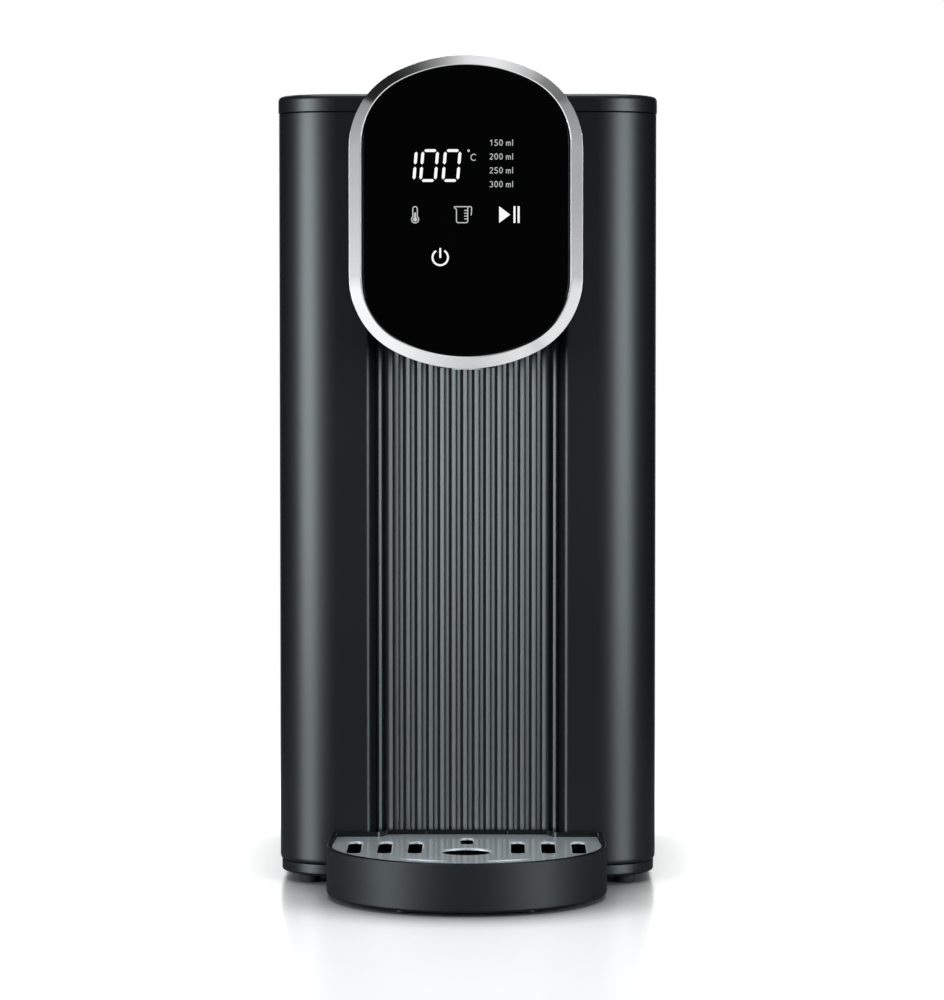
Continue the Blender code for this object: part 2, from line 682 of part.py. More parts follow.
def make_housing():
    inner_hem = HOUSING_Z + HEM_HEIGHT

    def wall_ring(z, depth, hem=0.0):
        path = body_front(depth, HOUSING_REAR_Y)
        return at_height(offset(path, hem, closed=False) + offset(path, WALL, closed=False)[::-1], z)

    housing = lofted(
        "front_housing",
        [
            wall_ring(HOUSING_Z, CHANNEL_DEPTH, HEM_INSET),
            wall_ring(inner_hem, CHANNEL_DEPTH),
            wall_ring(CHANNEL_TOP_Z, CHANNEL_DEPTH),
            wall_ring(CHANNEL_TOP_Z + CHANNEL_DEPTH, 0.0),
            wall_ring(HOUSING_TOP_Z, 0.0),
        ],
        "matte_black",
    )
    for place in ("front_left", "front_right"):
        boss, pilot = screw_boss("housing_boss_" + place, *SCREW_PLACES[place], "matte_black")
        join(housing, boss)
        cut(housing, pilot)
    passage = box(
        "housing_passage",
        (-PASSAGE_WIDTH / 2, PASSAGE_WIDTH / 2),
        (FRONT_Y - OVERRUN, FRONT_Y + WALL + OVERRUN),
        (PASSAGE_Z - PASSAGE_HEIGHT / 2, PASSAGE_Z + PASSAGE_HEIGHT / 2),
        "matte_black",
    )
    cut(housing, passage)
    hook_z = HOUSING_Z + HOOK_ABOVE_HOUSING
    for hand in (-1, 1):
        half = HOOK_WIDTH / 2 + MOVING_GAP
        slot = box(
            f"hook_slot_{hand}",
            (hand * HOOK_SPREAD - half, hand * HOOK_SPREAD + half),
            (FRONT_Y - OVERRUN, FRONT_Y + WALL + OVERRUN),
            (hook_z - MOVING_GAP, hook_z + HOOK_THICKNESS + MOVING_GAP),
            "matte_black",
        )
        cut(housing, slot)


def make_splash_panel():
    """A plate with one bead at each side and evenly spaced ribs between them."""
    back = FRONT_Y + CHANNEL_DEPTH - GAP
    face = back - PANEL_THICKNESS
    crest = face - RIB_HEIGHT
    first = -RIB_PITCH * (RIB_COUNT - 1) / 2
    ribs = []
    for i in range(RIB_COUNT):
        middle = first + i * RIB_PITCH
        ribs += [
            (middle - RIB_WIDTH / 2, face),
            (middle - RIB_TOP_WIDTH / 2, crest),
            (middle + RIB_TOP_WIDTH / 2, crest),
            (middle + RIB_WIDTH / 2, face),
        ]
    bead = RIB_PITCH * RIB_COUNT / 2 + PANEL_BEAD_WIDTH
    bead_top = PANEL_BEAD_WIDTH / 4
    left = [
        (-bead, face),
        (-bead + bead_top, crest),
        (bead_top - bead + PANEL_BEAD_WIDTH / 2, crest),
        (PANEL_BEAD_WIDTH - bead, face),
    ]
    right = [(-x, y) for x, y in left[::-1]]
    outline = [(-bead, back)] + left + ribs + right + [(bead, back)]
    rings = [at_height(outline, HOUSING_Z + GAP), at_height(outline, CHANNEL_TOP_Z - GAP)]
    lofted("splash_panel", rings, "matte_black")


def make_bulkhead():
    """The wall between the machine space and the tank, with posts for the power board."""
    edge = HALF_WIDTH - WALL - GAP
    thickness = (BULKHEAD_Y, HOUSING_REAR_Y)
    bulkhead = box("rear_bulkhead", (-edge, edge), thickness, (HOUSING_Z, HOUSING_TOP_Z), "grey_plastic")
    hole_half = HOSE_RADIUS + 2 * OVERRUN
    opening = box(
        "bulkhead_opening",
        (DOCK_ACROSS - hole_half, DOCK_ACROSS + hole_half),
        (BULKHEAD_Y - OVERRUN, HOUSING_REAR_Y + OVERRUN),
        (PUMP_Z - hole_half, PUMP_Z + hole_half),
        "grey_plastic",
    )
    cut(bulkhead, opening)
    for i, (x, z) in enumerate(power_board_posts()):
        post = turned(
            f"board_post_{i}",
            rod(STANDOFF_RADIUS, BULKHEAD_Y - STANDOFF, BULKHEAD_Y + OVERRUN),
            (x, 0, z),
            "grey_plastic",
            axis="Y",
            steps=SMALL_STEPS,
        )
        join(bulkhead, post)


def power_board_span():
    left = GAP + WALL + POWER_BOARD_SIDE_GAP - HALF_WIDTH
    bottom = SHELF_TOP_Z + POWER_BOARD_ABOVE_SHELF
    return (left, left + POWER_BOARD_WIDTH), (bottom, bottom + POWER_BOARD_HEIGHT)


def power_board_posts():
    (x0, x1), (z0, z1) = power_board_span()
    inset = 2 * STANDOFF_RADIUS
    return [(x, z) for x in (x0 + inset, x1 - inset) for z in (z0 + inset, z1 - inset)]


def make_cap(name, half_width, y0, y1, front_radius, rear_radius, wall):
    """A shallow lid with a rounded top edge, and a lip that drops inside the walls it stands on."""
    outer = rounded_rectangle(half_width, y0, y1, front_radius, rear_radius)
    skirt = offset(outer, COVER_OVERHANG + wall + GAP)
    lip = offset(skirt, LIP_THICKNESS)
    return lofted(
        name,
        [
            at_height(lip, BODY_TOP_Z - wall),
            at_height(lip, COVER_Z - LIP_DEPTH),
            at_height(skirt, COVER_Z - LIP_DEPTH),
            at_height(skirt, COVER_Z),
            at_height(outer, COVER_Z),
            at_height(outer, BODY_TOP_Z - COVER_EDGE),
            at_height(offset(outer, EDGE_SHARE * COVER_EDGE), BODY_TOP_Z - EDGE_SHARE * COVER_EDGE),
            at_height(offset(outer, COVER_EDGE), BODY_TOP_Z),
        ],
        "matte_black",
    )


def make_top_cover():
    make_cap(
        "top_cover",
        HALF_WIDTH + COVER_OVERHANG,
        FRONT_Y - COVER_OVERHANG,
        HOUSING_REAR_Y,
        CORNER_RADIUS + COVER_OVERHANG,
        COVER_EDGE + LIP_THICKNESS + WALL,
        WALL,
    )


def make_shelf():
    """The hollow step under the tank: open below, with holes for the dock, the hose and the gland."""
    outer = rounded_rectangle(HALF_WIDTH, TANK_FRONT_Y, TANK_REAR_Y, REAR_EDGE_RADIUS + WALL, CORNER_RADIUS)
    inner = offset(outer, WALL)
    shelf = lofted(
        "tank_shelf",
        [
            at_height(outer, SHELF_TOP_Z),
            at_height(outer, HOUSING_Z),
            at_height(inner, HOUSING_Z),
            at_height(inner, SHELF_TOP_Z - WALL),
        ],
        "matte_black",
    )
    for place in ("rear_left", "rear_right"):
        boss, pilot = screw_boss("shelf_boss_" + place, *SCREW_PLACES[place], "matte_black")
        join(shelf, boss)
        cut(shelf, pilot)
    dock_hole = rod(DOCK_RADIUS + GAP, SHELF_TOP_Z - WALL - OVERRUN, SHELF_TOP_Z + OVERRUN)
    cut(shelf, turned("dock_hole", dock_hole, (DOCK_ACROSS, DOCK_Y, 0), "matte_black"))
    hose_hole = rod(HOSE_RADIUS + OVERRUN, TANK_FRONT_Y - OVERRUN, TANK_FRONT_Y + WALL + OVERRUN)
    cut(shelf, turned("shelf_hose_hole", hose_hole, (DOCK_ACROSS, 0, PUMP_Z), "matte_black", axis="Y"))
    gland_hole = rod(GLAND_NECK_RADIUS + GAP, TANK_REAR_Y - WALL - OVERRUN, TANK_REAR_Y + OVERRUN)
    cut(shelf, turned("gland_hole", gland_hole, (GLAND_ACROSS, 0, PUMP_Z), "matte_black", axis="Y"))
    gland = [
        (GLAND_NECK_RADIUS, TANK_REAR_Y - WALL - GAP - OVERRUN),
        (GLAND_NECK_RADIUS, TANK_REAR_Y + GAP),
        (GLAND_RADIUS, TANK_REAR_Y + GAP),
        (GLAND_RADIUS - GAP, TANK_REAR_Y + GLAND_FLANGE),
        (GLAND_BORE, TANK_REAR_Y + GLAND_FLANGE),
        (GLAND_BORE, TANK_REAR_Y - WALL - GAP - OVERRUN),
    ]
    turned("cord_gland", gland, (GLAND_ACROSS, 0, PUMP_Z), "rubber", axis="Y")


def make_dock():
    """The socket that the tank's valve drops into, with the pin that holds the valve open."""
    flange_z = SHELF_TOP_Z - WALL - GAP
    profile = [
        (0, PLINTH_FLOOR_Z + GAP),
        (DOCK_RADIUS, PLINTH_FLOOR_Z + GAP),
        (DOCK_RADIUS, flange_z - DOCK_FLANGE_THICKNESS),
        (DOCK_FLANGE_RADIUS, flange_z - DOCK_FLANGE_THICKNESS),
        (DOCK_FLANGE_RADIUS, flange_z),
        (DOCK_RADIUS, flange_z),
        (DOCK_RADIUS, DOCK_TOP_Z),
        (DOCK_CUP_RADIUS, DOCK_TOP_Z),
        (DOCK_CUP_RADIUS, DOCK_CUP_Z),
        (DOCK_PIN_RADIUS, DOCK_CUP_Z),
        (DOCK_PIN_RADIUS, DOCK_PIN_TOP_Z),
        (0, DOCK_PIN_TOP_Z),
    ]
    dock = turned("tank_dock", profile, (DOCK_ACROSS, DOCK_Y, 0), "grey_plastic")
    nozzle_end = DOCK_Y - DOCK_RADIUS - NOZZLE_LENGTH
    nozzle = rod(NOZZLE_RADIUS, nozzle_end, DOCK_Y)
    join(dock, turned("dock_nozzle", nozzle, (DOCK_ACROSS, 0, PUMP_Z), "grey_plastic", "Y"))
    drain_y = DOCK_Y - (DOCK_CUP_RADIUS + DOCK_PIN_RADIUS) / 2
    bore = rod(NOZZLE_BORE, nozzle_end - OVERRUN, drain_y + NOZZLE_BORE / 2)
    cut(dock, turned("dock_bore", bore, (DOCK_ACROSS, 0, PUMP_Z), "grey_plastic", "Y", SMALL_STEPS))
    drain = rod(NOZZLE_BORE + GAP, PUMP_Z - NOZZLE_BORE / 2, DOCK_CUP_Z + OVERRUN)
    cut(dock, turned("dock_drain", drain, (DOCK_ACROSS, drain_y, 0), "grey_plastic", steps=SMALL_STEPS))
    seal_z = DOCK_CUP_Z + GAP
    seal = sleeve(DOCK_CUP_RADIUS - GAP, VALVE_RADIUS + GAP, seal_z, seal_z + SEAL_RING_HEIGHT)
    turned("dock_seal", seal, (DOCK_ACROSS, DOCK_Y, 0), "silicone")


def make_pump():
    centre = (DOCK_ACROSS, 0, PUMP_Z)
    chamber = PUMP_RADIUS - PUMP_WALL
    profile = [
        (PUMP_RADIUS, PUMP_FRONT_Y),
        (PUMP_RADIUS, PUMP_REAR_Y),
        (NOZZLE_RADIUS, PUMP_REAR_Y),
        (NOZZLE_RADIUS, PUMP_INLET_Y),
        (NOZZLE_BORE, PUMP_INLET_Y),
        (NOZZLE_BORE, PUMP_REAR_Y - PUMP_WALL),
        (chamber, PUMP_REAR_Y - PUMP_WALL),
        (chamber, PUMP_FRONT_Y),
    ]
    pump = turned("pump_housing", profile, centre, "white_plastic", axis="Y")
    base = PUMP_Z + PUMP_RADIUS - PUMP_WALL / 2
    top = PUMP_Z + PUMP_RADIUS + NOZZLE_LENGTH
    outlet = (DOCK_ACROSS, (PUMP_FRONT_Y + PUMP_REAR_Y) / 2, 0)
    join(pump, turned("pump_outlet", rod(NOZZLE_RADIUS, base, top), outlet, "white_plastic"))
    outlet_bore = rod(NOZZLE_BORE, PUMP_Z + chamber - OVERRUN, top + OVERRUN)
    cut(pump, turned("pump_outlet_bore", outlet_bore, outlet, "white_plastic", steps=SMALL_STEPS))
    shaft_bore = SHAFT_RADIUS + GAP
    bore_end = MOTOR_REAR_Y - IMPELLER_LENGTH - GAP
    motor = [
        (0, MOTOR_FRONT_Y - MOTOR_BOSS_LENGTH),
        (MOTOR_BOSS_RADIUS, MOTOR_FRONT_Y - MOTOR_BOSS_LENGTH),
        (MOTOR_BOSS_RADIUS, MOTOR_FRONT_Y),
        (MOTOR_RADIUS, MOTOR_FRONT_Y),
        (MOTOR_RADIUS, MOTOR_REAR_Y),
        (shaft_bore, MOTOR_REAR_Y),
        (shaft_bore, bore_end),
        (0, bore_end),
    ]
    turned("pump_motor", motor, centre, "aluminium", axis="Y")
    make_impeller(centre)
    make_saddle()


def make_impeller(centre):
    """A paddle wheel: flat vanes round a hub, on a shaft stub that runs in the motor's nose."""
    vanes = []
    for i in range(IMPELLER_VANES):
        turn = i * 2 * math.pi / IMPELLER_VANES
        half = VANE_SHARE * math.pi / IMPELLER_VANES
        outer_half = half * IMPELLER_HUB_RADIUS / IMPELLER_RADIUS
        for radius, angle in (
            (IMPELLER_HUB_RADIUS, turn - half),
            (IMPELLER_RADIUS, turn - outer_half),
            (IMPELLER_RADIUS, turn + outer_half),
            (IMPELLER_HUB_RADIUS, turn + half),
        ):
            vanes.append((centre[0] + radius * math.cos(angle), centre[2] + radius * math.sin(angle)))
    front = PUMP_FRONT_Y + GAP
    rings = [at_depth(vanes, front), at_depth(vanes, front + IMPELLER_LENGTH)]
    wheel = lofted("pump_impeller", rings, "white_plastic", origin=(centre[0], front, centre[2]))
    shaft = rod(SHAFT_RADIUS, MOTOR_REAR_Y - IMPELLER_LENGTH, front + IMPELLER_LENGTH / 2)
    join(wheel, turned("impeller_shaft", shaft, centre, "white_plastic", axis="Y", steps=SMALL_STEPS))


def make_saddle():
    """The cradle under the pump motor."""
    half = MOTOR_RADIUS + SADDLE_SIDE
    hollow = arc((DOCK_ACROSS, PUMP_Z), MOTOR_RADIUS + GAP, 0, -180, CORNER_STEPS * 2)
    bottom = PLINTH_FLOOR_Z + GAP
    outline = [(DOCK_ACROSS - half, bottom), (DOCK_ACROSS + half, bottom), (DOCK_ACROSS + half, PUMP_Z)]
    outline += hollow + [(DOCK_ACROSS - half, PUMP_Z)]
    middle = (MOTOR_FRONT_Y + MOTOR_REAR_Y) / 2
    rings = [at_depth(outline, middle - SADDLE_LENGTH / 2), at_depth(outline, middle + SADDLE_LENGTH / 2)]
    lofted("pump_bracket", rings, "rubber")


def make_heater():
    centre = (HEATER_ACROSS, HEATER_Y, 0)
    turned("heater_body", sleeve(HEATER_RADIUS, HEATER_BORE, HEATER_Z, HEATER_TOP_Z), centre, "aluminium")
    spigot = HEATER_BORE - GAP
    for name, face, sign in (("bottom", HEATER_Z, -1), ("top", HEATER_TOP_Z, 1)):
        outer_face = face + sign * (GAP + HEATER_CAP_HEIGHT)
        near = face + sign * GAP
        cap = [
            (0, face - sign * HEATER_SPIGOT),
            (spigot, face - sign * HEATER_SPIGOT),
            (spigot, near),
            (HEATER_RADIUS, near),
            (HEATER_RADIUS, outer_face),
            (0, outer_face),
        ]
        made = turned("heater_cap_" + name, cap, centre, "white_plastic")
        socket = rod(ELEMENT_RADIUS + GAP, *sorted((face - sign * (HEATER_SPIGOT + OVERRUN), near)))
        cut(made, turned("heater_socket_" + name, socket, centre, "white_plastic"))
        if sign < 0:
            add_bottom_port(made)
        else:
            add_top_port(made)
    ends = (HEATER_Z + OVERRUN, HEATER_TOP_Z - OVERRUN)
    turned("heating_element", rod(ELEMENT_RADIUS, *ends), centre, "spring_steel")
    side = HEATER_RADIUS + GAP
    cutout_x = HEATER_ACROSS + side
    cutout_z = (HEATER_Z + HEATER_TOP_Z) / 2
    turned(
        "thermal_cutout",
        rod(CUTOUT_RADIUS, cutout_x, cutout_x + CUTOUT_HEIGHT),
        (0, HEATER_Y, cutout_z),
        "aluminium",
        axis="X",
        steps=SMALL_STEPS,
    )
    seat = HEATER_CAP_TOP_Z - HEATER_CAP_HEIGHT / 2 + GAP
    sensor = rod(SENSOR_RADIUS, seat, HEATER_CAP_TOP_Z + SENSOR_LENGTH)
    turned("temperature_sensor", sensor, sensor_place(), "spring_steel", steps=SMALL_STEPS)
    for name, z in (("lower", HEATER_Z + BRACKET_HEIGHT), ("upper", HEATER_TOP_Z - 2 * BRACKET_HEIGHT)):
        make_heater_bracket(name, z)


def sensor_place():
    return (HEATER_ACROSS + HEATER_RADIUS / 2, HEATER_Y + HEATER_RADIUS / 2, 0)


def terminal_place():
    return (HEATER_ACROSS - HEATER_RADIUS / 2, HEATER_Y + HEATER_RADIUS / 2, 0)


def add_bottom_port(cap):
    z = HEATER_BOTTOM_PORT_Z
    start = HEATER_ACROSS - HEATER_RADIUS - NOZZLE_LENGTH
    nozzle = rod(NOZZLE_RADIUS, start, HEATER_ACROSS - HEATER_RADIUS / 2)
    join(cap, turned("heater_inlet", nozzle, (0, HEATER_Y, z), "white_plastic", "X", SMALL_STEPS))
    bore = rod(NOZZLE_BORE, start - OVERRUN, HEATER_ACROSS + NOZZLE_BORE / 2)
    cut(cap, turned("heater_inlet_bore", bore, (0, HEATER_Y, z), "white_plastic", "X", SMALL_STEPS))
    rise = rod(NOZZLE_BORE + GAP, z - NOZZLE_BORE / 2, HEATER_Z)
    centre = (HEATER_ACROSS, HEATER_Y, 0)
    cut(cap, turned("heater_inlet_rise", rise, centre, "white_plastic", steps=SMALL_STEPS))


def add_top_port(cap):
    centre = (HEATER_ACROSS, HEATER_Y, 0)
    top = HEATER_CAP_TOP_Z + NOZZLE_LENGTH
    outlet = rod(NOZZLE_RADIUS, HEATER_CAP_TOP_Z - OVERRUN, top)
    join(cap, turned("heater_outlet", outlet, centre, "white_plastic"))
    bore = rod(NOZZLE_BORE, HEATER_TOP_Z, top + OVERRUN)
    cut(cap, turned("heater_outlet_bore", bore, centre, "white_plastic", steps=SMALL_STEPS))
    pocket = rod(SENSOR_RADIUS + GAP, HEATER_CAP_TOP_Z - HEATER_CAP_HEIGHT / 2, HEATER_CAP_TOP_Z + OVERRUN)
    cut(cap, turned("sensor_pocket", pocket, sensor_place(), "white_plastic", steps=SMALL_STEPS))
    terminal = rod(TERMINAL_RADIUS, HEATER_CAP_TOP_Z - OVERRUN, HEATER_CAP_TOP_Z + TERMINAL_LENGTH)
    join(cap, turned("heater_terminal", terminal, terminal_place(), "white_plastic", steps=SMALL_STEPS))


def make_heater_bracket(name, z):
    """A strap round the heater on a block that stands on the bulkhead."""
    ring = sleeve(HEATER_RADIUS + GAP + BRACKET_THICKNESS, HEATER_RADIUS + GAP, z, z + BRACKET_HEIGHT)
    bracket = turned("heater_bracket_" + name, ring, (HEATER_ACROSS, HEATER_Y, 0), "grey_plastic")
    half = HEATER_RADIUS / 2
    arm = box(
        "bracket_arm_" + name,
        (HEATER_ACROSS - half, HEATER_ACROSS + half),
        (HEATER_Y + HEATER_RADIUS + GAP + BRACKET_THICKNESS / 2, BULKHEAD_Y - GAP),
        (z, z + BRACKET_HEIGHT),
        "grey_plastic",
    )
    join(bracket, arm)


def make_hoses():
    nozzle_end = DOCK_Y - DOCK_RADIUS - GAP
    pump_end = PUMP_REAR_Y + GAP
    run = (pump_end - nozzle_end) / 4
    stops = [(DOCK_ACROSS, nozzle_end + share * run, PUMP_Z) for share in (0, 1, 3, 4)]
    hose("suction_hose", stops, "silicone", 2)
    pump_y = (PUMP_FRONT_Y + PUMP_REAR_Y) / 2
    start_z = PUMP_Z + PUMP_RADIUS + GAP
    port_z = HEATER_BOTTOM_PORT_Z
    port_x = HEATER_ACROSS - HEATER_RADIUS - GAP
    straight = NOZZLE_LENGTH + HOSE_RADIUS
    middle_x = (DOCK_ACROSS + port_x - straight) / 2
    middle_z = (start_z + straight + port_z) / 2
    hose(
        "pressure_hose",
        [
            (DOCK_ACROSS, pump_y, start_z),
            (DOCK_ACROSS, pump_y, start_z + straight),
            (middle_x, (pump_y + HEATER_Y) / 2, middle_z),
            (port_x - straight, HEATER_Y, port_z),
            (port_x, HEATER_Y, port_z),
        ],
        "silicone",
        10,
    )
    spout_z = SPOUT_TOP_Z + GAP
    bend = PASSAGE_WIDTH / 3
    heater_z = HEATER_CAP_TOP_Z + GAP
    hose(
        "outlet_hose",
        [
            (0, SPOUT_Y, spout_z),
            (0, SPOUT_Y, spout_z + straight),
            (0, SPOUT_Y + bend / 2, PASSAGE_Z - bend / 2),
            (0, SPOUT_Y + 2 * bend, PASSAGE_Z),
            (0, FRONT_Y, PASSAGE_Z),
            (HEATER_ACROSS / 3, FRONT_Y + bend, PASSAGE_Z),
            (HEATER_ACROSS, HEATER_Y - bend / 2, PASSAGE_Z - bend),
            (HEATER_ACROSS, HEATER_Y, PASSAGE_Z - 3 * bend),
            (HEATER_ACROSS, HEATER_Y, heater_z + straight),
            (HEATER_ACROSS, HEATER_Y, heater_z),
        ],
        "silicone",
        17,
    )


def make_power_board():
    (x0, x1), (z0, z1) = power_board_span()
    back = BULKHEAD_Y - STANDOFF - GAP
    face = back - BOARD_THICKNESS
    box("power_board", (x0, x1), (face, back), (z0, z1), "circuit_board")
    middle = (x0 + x1) / 2
    relay_z = (z0 + z1) / 2 - RELAY_HEIGHT
    box(
        "power_relay",
        (middle - RELAY_WIDTH / 2, middle + RELAY_WIDTH / 2),
        (face - GAP - RELAY_DEPTH, face - GAP),
        (relay_z - RELAY_HEIGHT / 2, relay_z + RELAY_HEIGHT / 2),
        "grey_plastic",
    )
    sink_z = (z0 + z1) / 2 + RELAY_HEIGHT
    left = middle - HEAT_SINK_WIDTH / 2
    pitch = (HEAT_SINK_WIDTH - HEAT_SINK_FIN) / (HEAT_SINK_FINS - 1)
    near = face - GAP
    base = near - HEAT_SINK_FIN
    tip = near - HEAT_SINK_DEPTH
    outline = [(left, near)]
    for i in range(HEAT_SINK_FINS):
        start = left + i * pitch
        outline += [(start, base), (start, tip), (start + HEAT_SINK_FIN, tip), (start + HEAT_SINK_FIN, base)]
    outline = [outline[0]] + outline[2:-1] + [(left + HEAT_SINK_WIDTH, near)]
    half = HEAT_SINK_HEIGHT / 2
    rings = [at_height(outline, sink_z - half), at_height(outline, sink_z + half)]
    lofted("power_heat_sink", rings, "aluminium")


def make_leads():
    """The ribbon from the display to the power board, and the heater's lead."""
    (x0, x1), (z0, z1) = power_board_span()
    board_face = BULKHEAD_Y - STANDOFF - GAP - BOARD_THICKNESS
    ribbon_x = -PASSAGE_WIDTH / 4
    middle_z = z1 - RIBBON_WIDTH
    board_x = (x0 + x1) / 2
    lift = PASSAGE_Z + PASSAGE_HEIGHT / 4
    flat = rectangle(-RIBBON_WIDTH / 2, RIBBON_WIDTH / 2, -RIBBON_THICKNESS / 2, RIBBON_THICKNESS / 2)
    lead(
        "display_ribbon",
        [
            (ribbon_x, BOARD_BACK_Y + GAP, lift),
            (ribbon_x, (BOARD_BACK_Y + FRONT_Y) / 2, lift),
            (ribbon_x, FRONT_Y + WALL, lift),
            (ribbon_x - RIBBON_WIDTH, (FRONT_Y + board_face) / 2, lift - RIBBON_WIDTH),
            (board_x, board_face - RIBBON_WIDTH, middle_z),
            (board_x, board_face - GAP, middle_z),
        ],
        "grey_plastic",
        14,
        flat,
    )
    place = terminal_place()
    top = HEATER_CAP_TOP_Z + TERMINAL_LENGTH + GAP
    round_section = arc((0, 0), LEAD_RADIUS, 0, 360, 6)[:-1]
    lead(
        "heater_lead",
        [
            (place[0], place[1], top),
            (place[0], place[1], top + RIBBON_WIDTH / 2),
            (place[0] - RIBBON_WIDTH, (place[1] + board_face) / 2 - RIBBON_WIDTH, top + RIBBON_WIDTH / 2),
            (x1 - RIBBON_WIDTH, board_face - RIBBON_WIDTH, z1 - 2 * RIBBON_WIDTH),
            (x1 - RIBBON_WIDTH, board_face - GAP, z1 - 2 * RIBBON_WIDTH),
        ],
        "silicone",
        12,
        round_section,
    )


def head_outline(side_inset=0.0, round_inset=None, rise=0.0):
    """Across and height: a circle cut off by two upright lines, with round corners where they meet."""
    round_inset = side_inset if round_inset is None else round_inset
    half = HEAD_HALF_WIDTH - side_inset
    radius = HEAD_RADIUS - round_inset
    fillet = HEAD_FILLET - side_inset
    height = math.sqrt((radius - fillet) ** 2 - (half - fillet) ** 2)
    lean = math.degrees(math.atan2(height, half - fillet))
    quarter = arc((half - fillet, height), fillet, 0, lean, 4)
    crown = arc((0, 0), radius, lean, 180 - lean, 8)[1:-1]
    upper = quarter + crown + [(-x, z) for x, z in quarter[::-1]]
    lower = [(-x, -z) for x, z in upper]
    return [(x, z + HEAD_Z + rise) for x, z in upper + lower]


def make_head_housing():
    """A hood of the head's outline; its crown sinks to the level of the body's top towards the rear."""

    def ring(y, side_inset, crown_z):
        back_share = max(0, (y - HEAD_REAR_Y + HEAD_FAIRING) / HEAD_FAIRING)
        kept_share = max(LEAST_CROWN_SHARE, (1 + math.cos(back_share * math.pi)) / 2)
        outline = head_outline(side_inset)
        return at_depth([(x, min(z, crown_z) + max(0, z - crown_z) * kept_share) for x, z in outline], y)

    steps = [HEAD_REAR_Y - HEAD_FAIRING * i / FAIRING_STEPS for i in range(FAIRING_STEPS + 1)]
    outside = [ring(y, 0.0, BODY_TOP_Z) for y in steps] + [ring(HEAD_FRONT_Y, 0.0, BODY_TOP_Z)]
    inner_top = BODY_TOP_Z - HEAD_WALL
    inner_steps = [min(y, HEAD_INNER_REAR_Y) for y in steps]
    inside = [ring(y, HEAD_WALL, inner_top) for y in [HEAD_FRONT_Y] + inner_steps[::-1]]
    head = lofted("head_housing", outside + inside, "matte_black")
    passage = box(
        "head_passage",
        (-PASSAGE_WIDTH / 2, PASSAGE_WIDTH / 2),
        (HEAD_INNER_REAR_Y - OVERRUN, HEAD_REAR_Y + OVERRUN),
        (PASSAGE_Z - PASSAGE_HEIGHT / 2, PASSAGE_Z + PASSAGE_HEIGHT / 2),
        "matte_black",
    )
    cut(head, passage)
    centre = (0, SPOUT_Y, 0)
    boss = rod(SPOUT_BOSS_RADIUS, HEAD_BOTTOM_Z + HEAD_WALL / 2, SPOUT_BOSS_Z)
    join(head, turned("spout_boss", boss, centre, "matte_black"))
    hole = rod(SPOUT_RADIUS + GAP, HEAD_BOTTOM_Z - OVERRUN, SPOUT_BOSS_Z + OVERRUN)
    cut(head, turned("spout_hole", hole, centre, "matte_black"))


def make_bezel_and_glass():
    opening = (BEZEL_FACE, BEZEL_ROUND_FACE)
    ledge = (BEZEL_FACE + BEZEL_LEDGE, BEZEL_ROUND_FACE + BEZEL_LEDGE)
    edge = (BEZEL_FACE - BEZEL_CHAMFER, BEZEL_ROUND_FACE - BEZEL_CHAMFER)
    sections = [
        ((0.0, 0.0), BEZEL_BACK_Y, 0.0),
        ((0.0, 0.0), HEAD_FACE_Y + BEZEL_CHAMFER, 0.0),
        ((BEZEL_CHAMFER, BEZEL_CHAMFER), HEAD_FACE_Y, 0.0),
        (edge, HEAD_FACE_Y, BEZEL_RISE),
        (opening, HEAD_FACE_Y + BEZEL_CHAMFER, BEZEL_RISE),
        (opening, LEDGE_Y, BEZEL_RISE),
        (ledge, LEDGE_Y, BEZEL_RISE),
        (ledge, BEZEL_BACK_Y, BEZEL_RISE),
    ]
    rings = [at_depth(head_outline(*insets, rise), y) for insets, y, rise in sections]
    lofted("head_bezel", rings, "polished_steel", looped=True)
    glass = (BEZEL_FACE + GLASS_GAP, BEZEL_ROUND_FACE + GLASS_GAP)
    face = (glass[0] + GLASS_CHAMFER, glass[1] + GLASS_CHAMFER)
    glass_rings = [
        at_depth(head_outline(*face, BEZEL_RISE), GLASS_Y),
        at_depth(head_outline(*glass, BEZEL_RISE), GLASS_Y + GLASS_CHAMFER),
        at_depth(head_outline(*glass, BEZEL_RISE), GLASS_BACK_Y),
    ]
    lofted("touch_glass", glass_rings, "gloss_black")


def make_display():
    board = head_outline(HEAD_WALL + GAP)
    lofted("display_board", [at_depth(board, BOARD_Y), at_depth(board, BOARD_BACK_Y)], "circuit_board")
    x = -DISPLAY_OFF_CENTRE
    z = HEAD_Z + DISPLAY_ABOVE_CENTRE
    box(
        "digit_display",
        (x - DIGIT_DISPLAY_WIDTH / 2, x + DIGIT_DISPLAY_WIDTH / 2),
        (GLASS_BACK_Y + GAP, BOARD_Y - GAP),
        (z - DIGIT_DISPLAY_HEIGHT / 2, z + DIGIT_DISPLAY_HEIGHT / 2),
        "white_plastic",
    )
    row = HEAD_Z + KEY_ROW_ABOVE_CENTRE
    keys = {
        "temperature": (-KEY_PITCH, row),
        "volume": (0, row),
        "start": (KEY_PITCH, row),
        "power": (-POWER_KEY_OFF_CENTRE, row - POWER_KEY_DROP),
    }
    for key, (across, height) in keys.items():
        pad = rod(KEY_RADIUS, GLASS_BACK_Y + GAP, BOARD_Y - GAP)
        turned("touch_pad_" + key, pad, (across, 0, height), "spring_steel", axis="Y", steps=SMALL_STEPS)


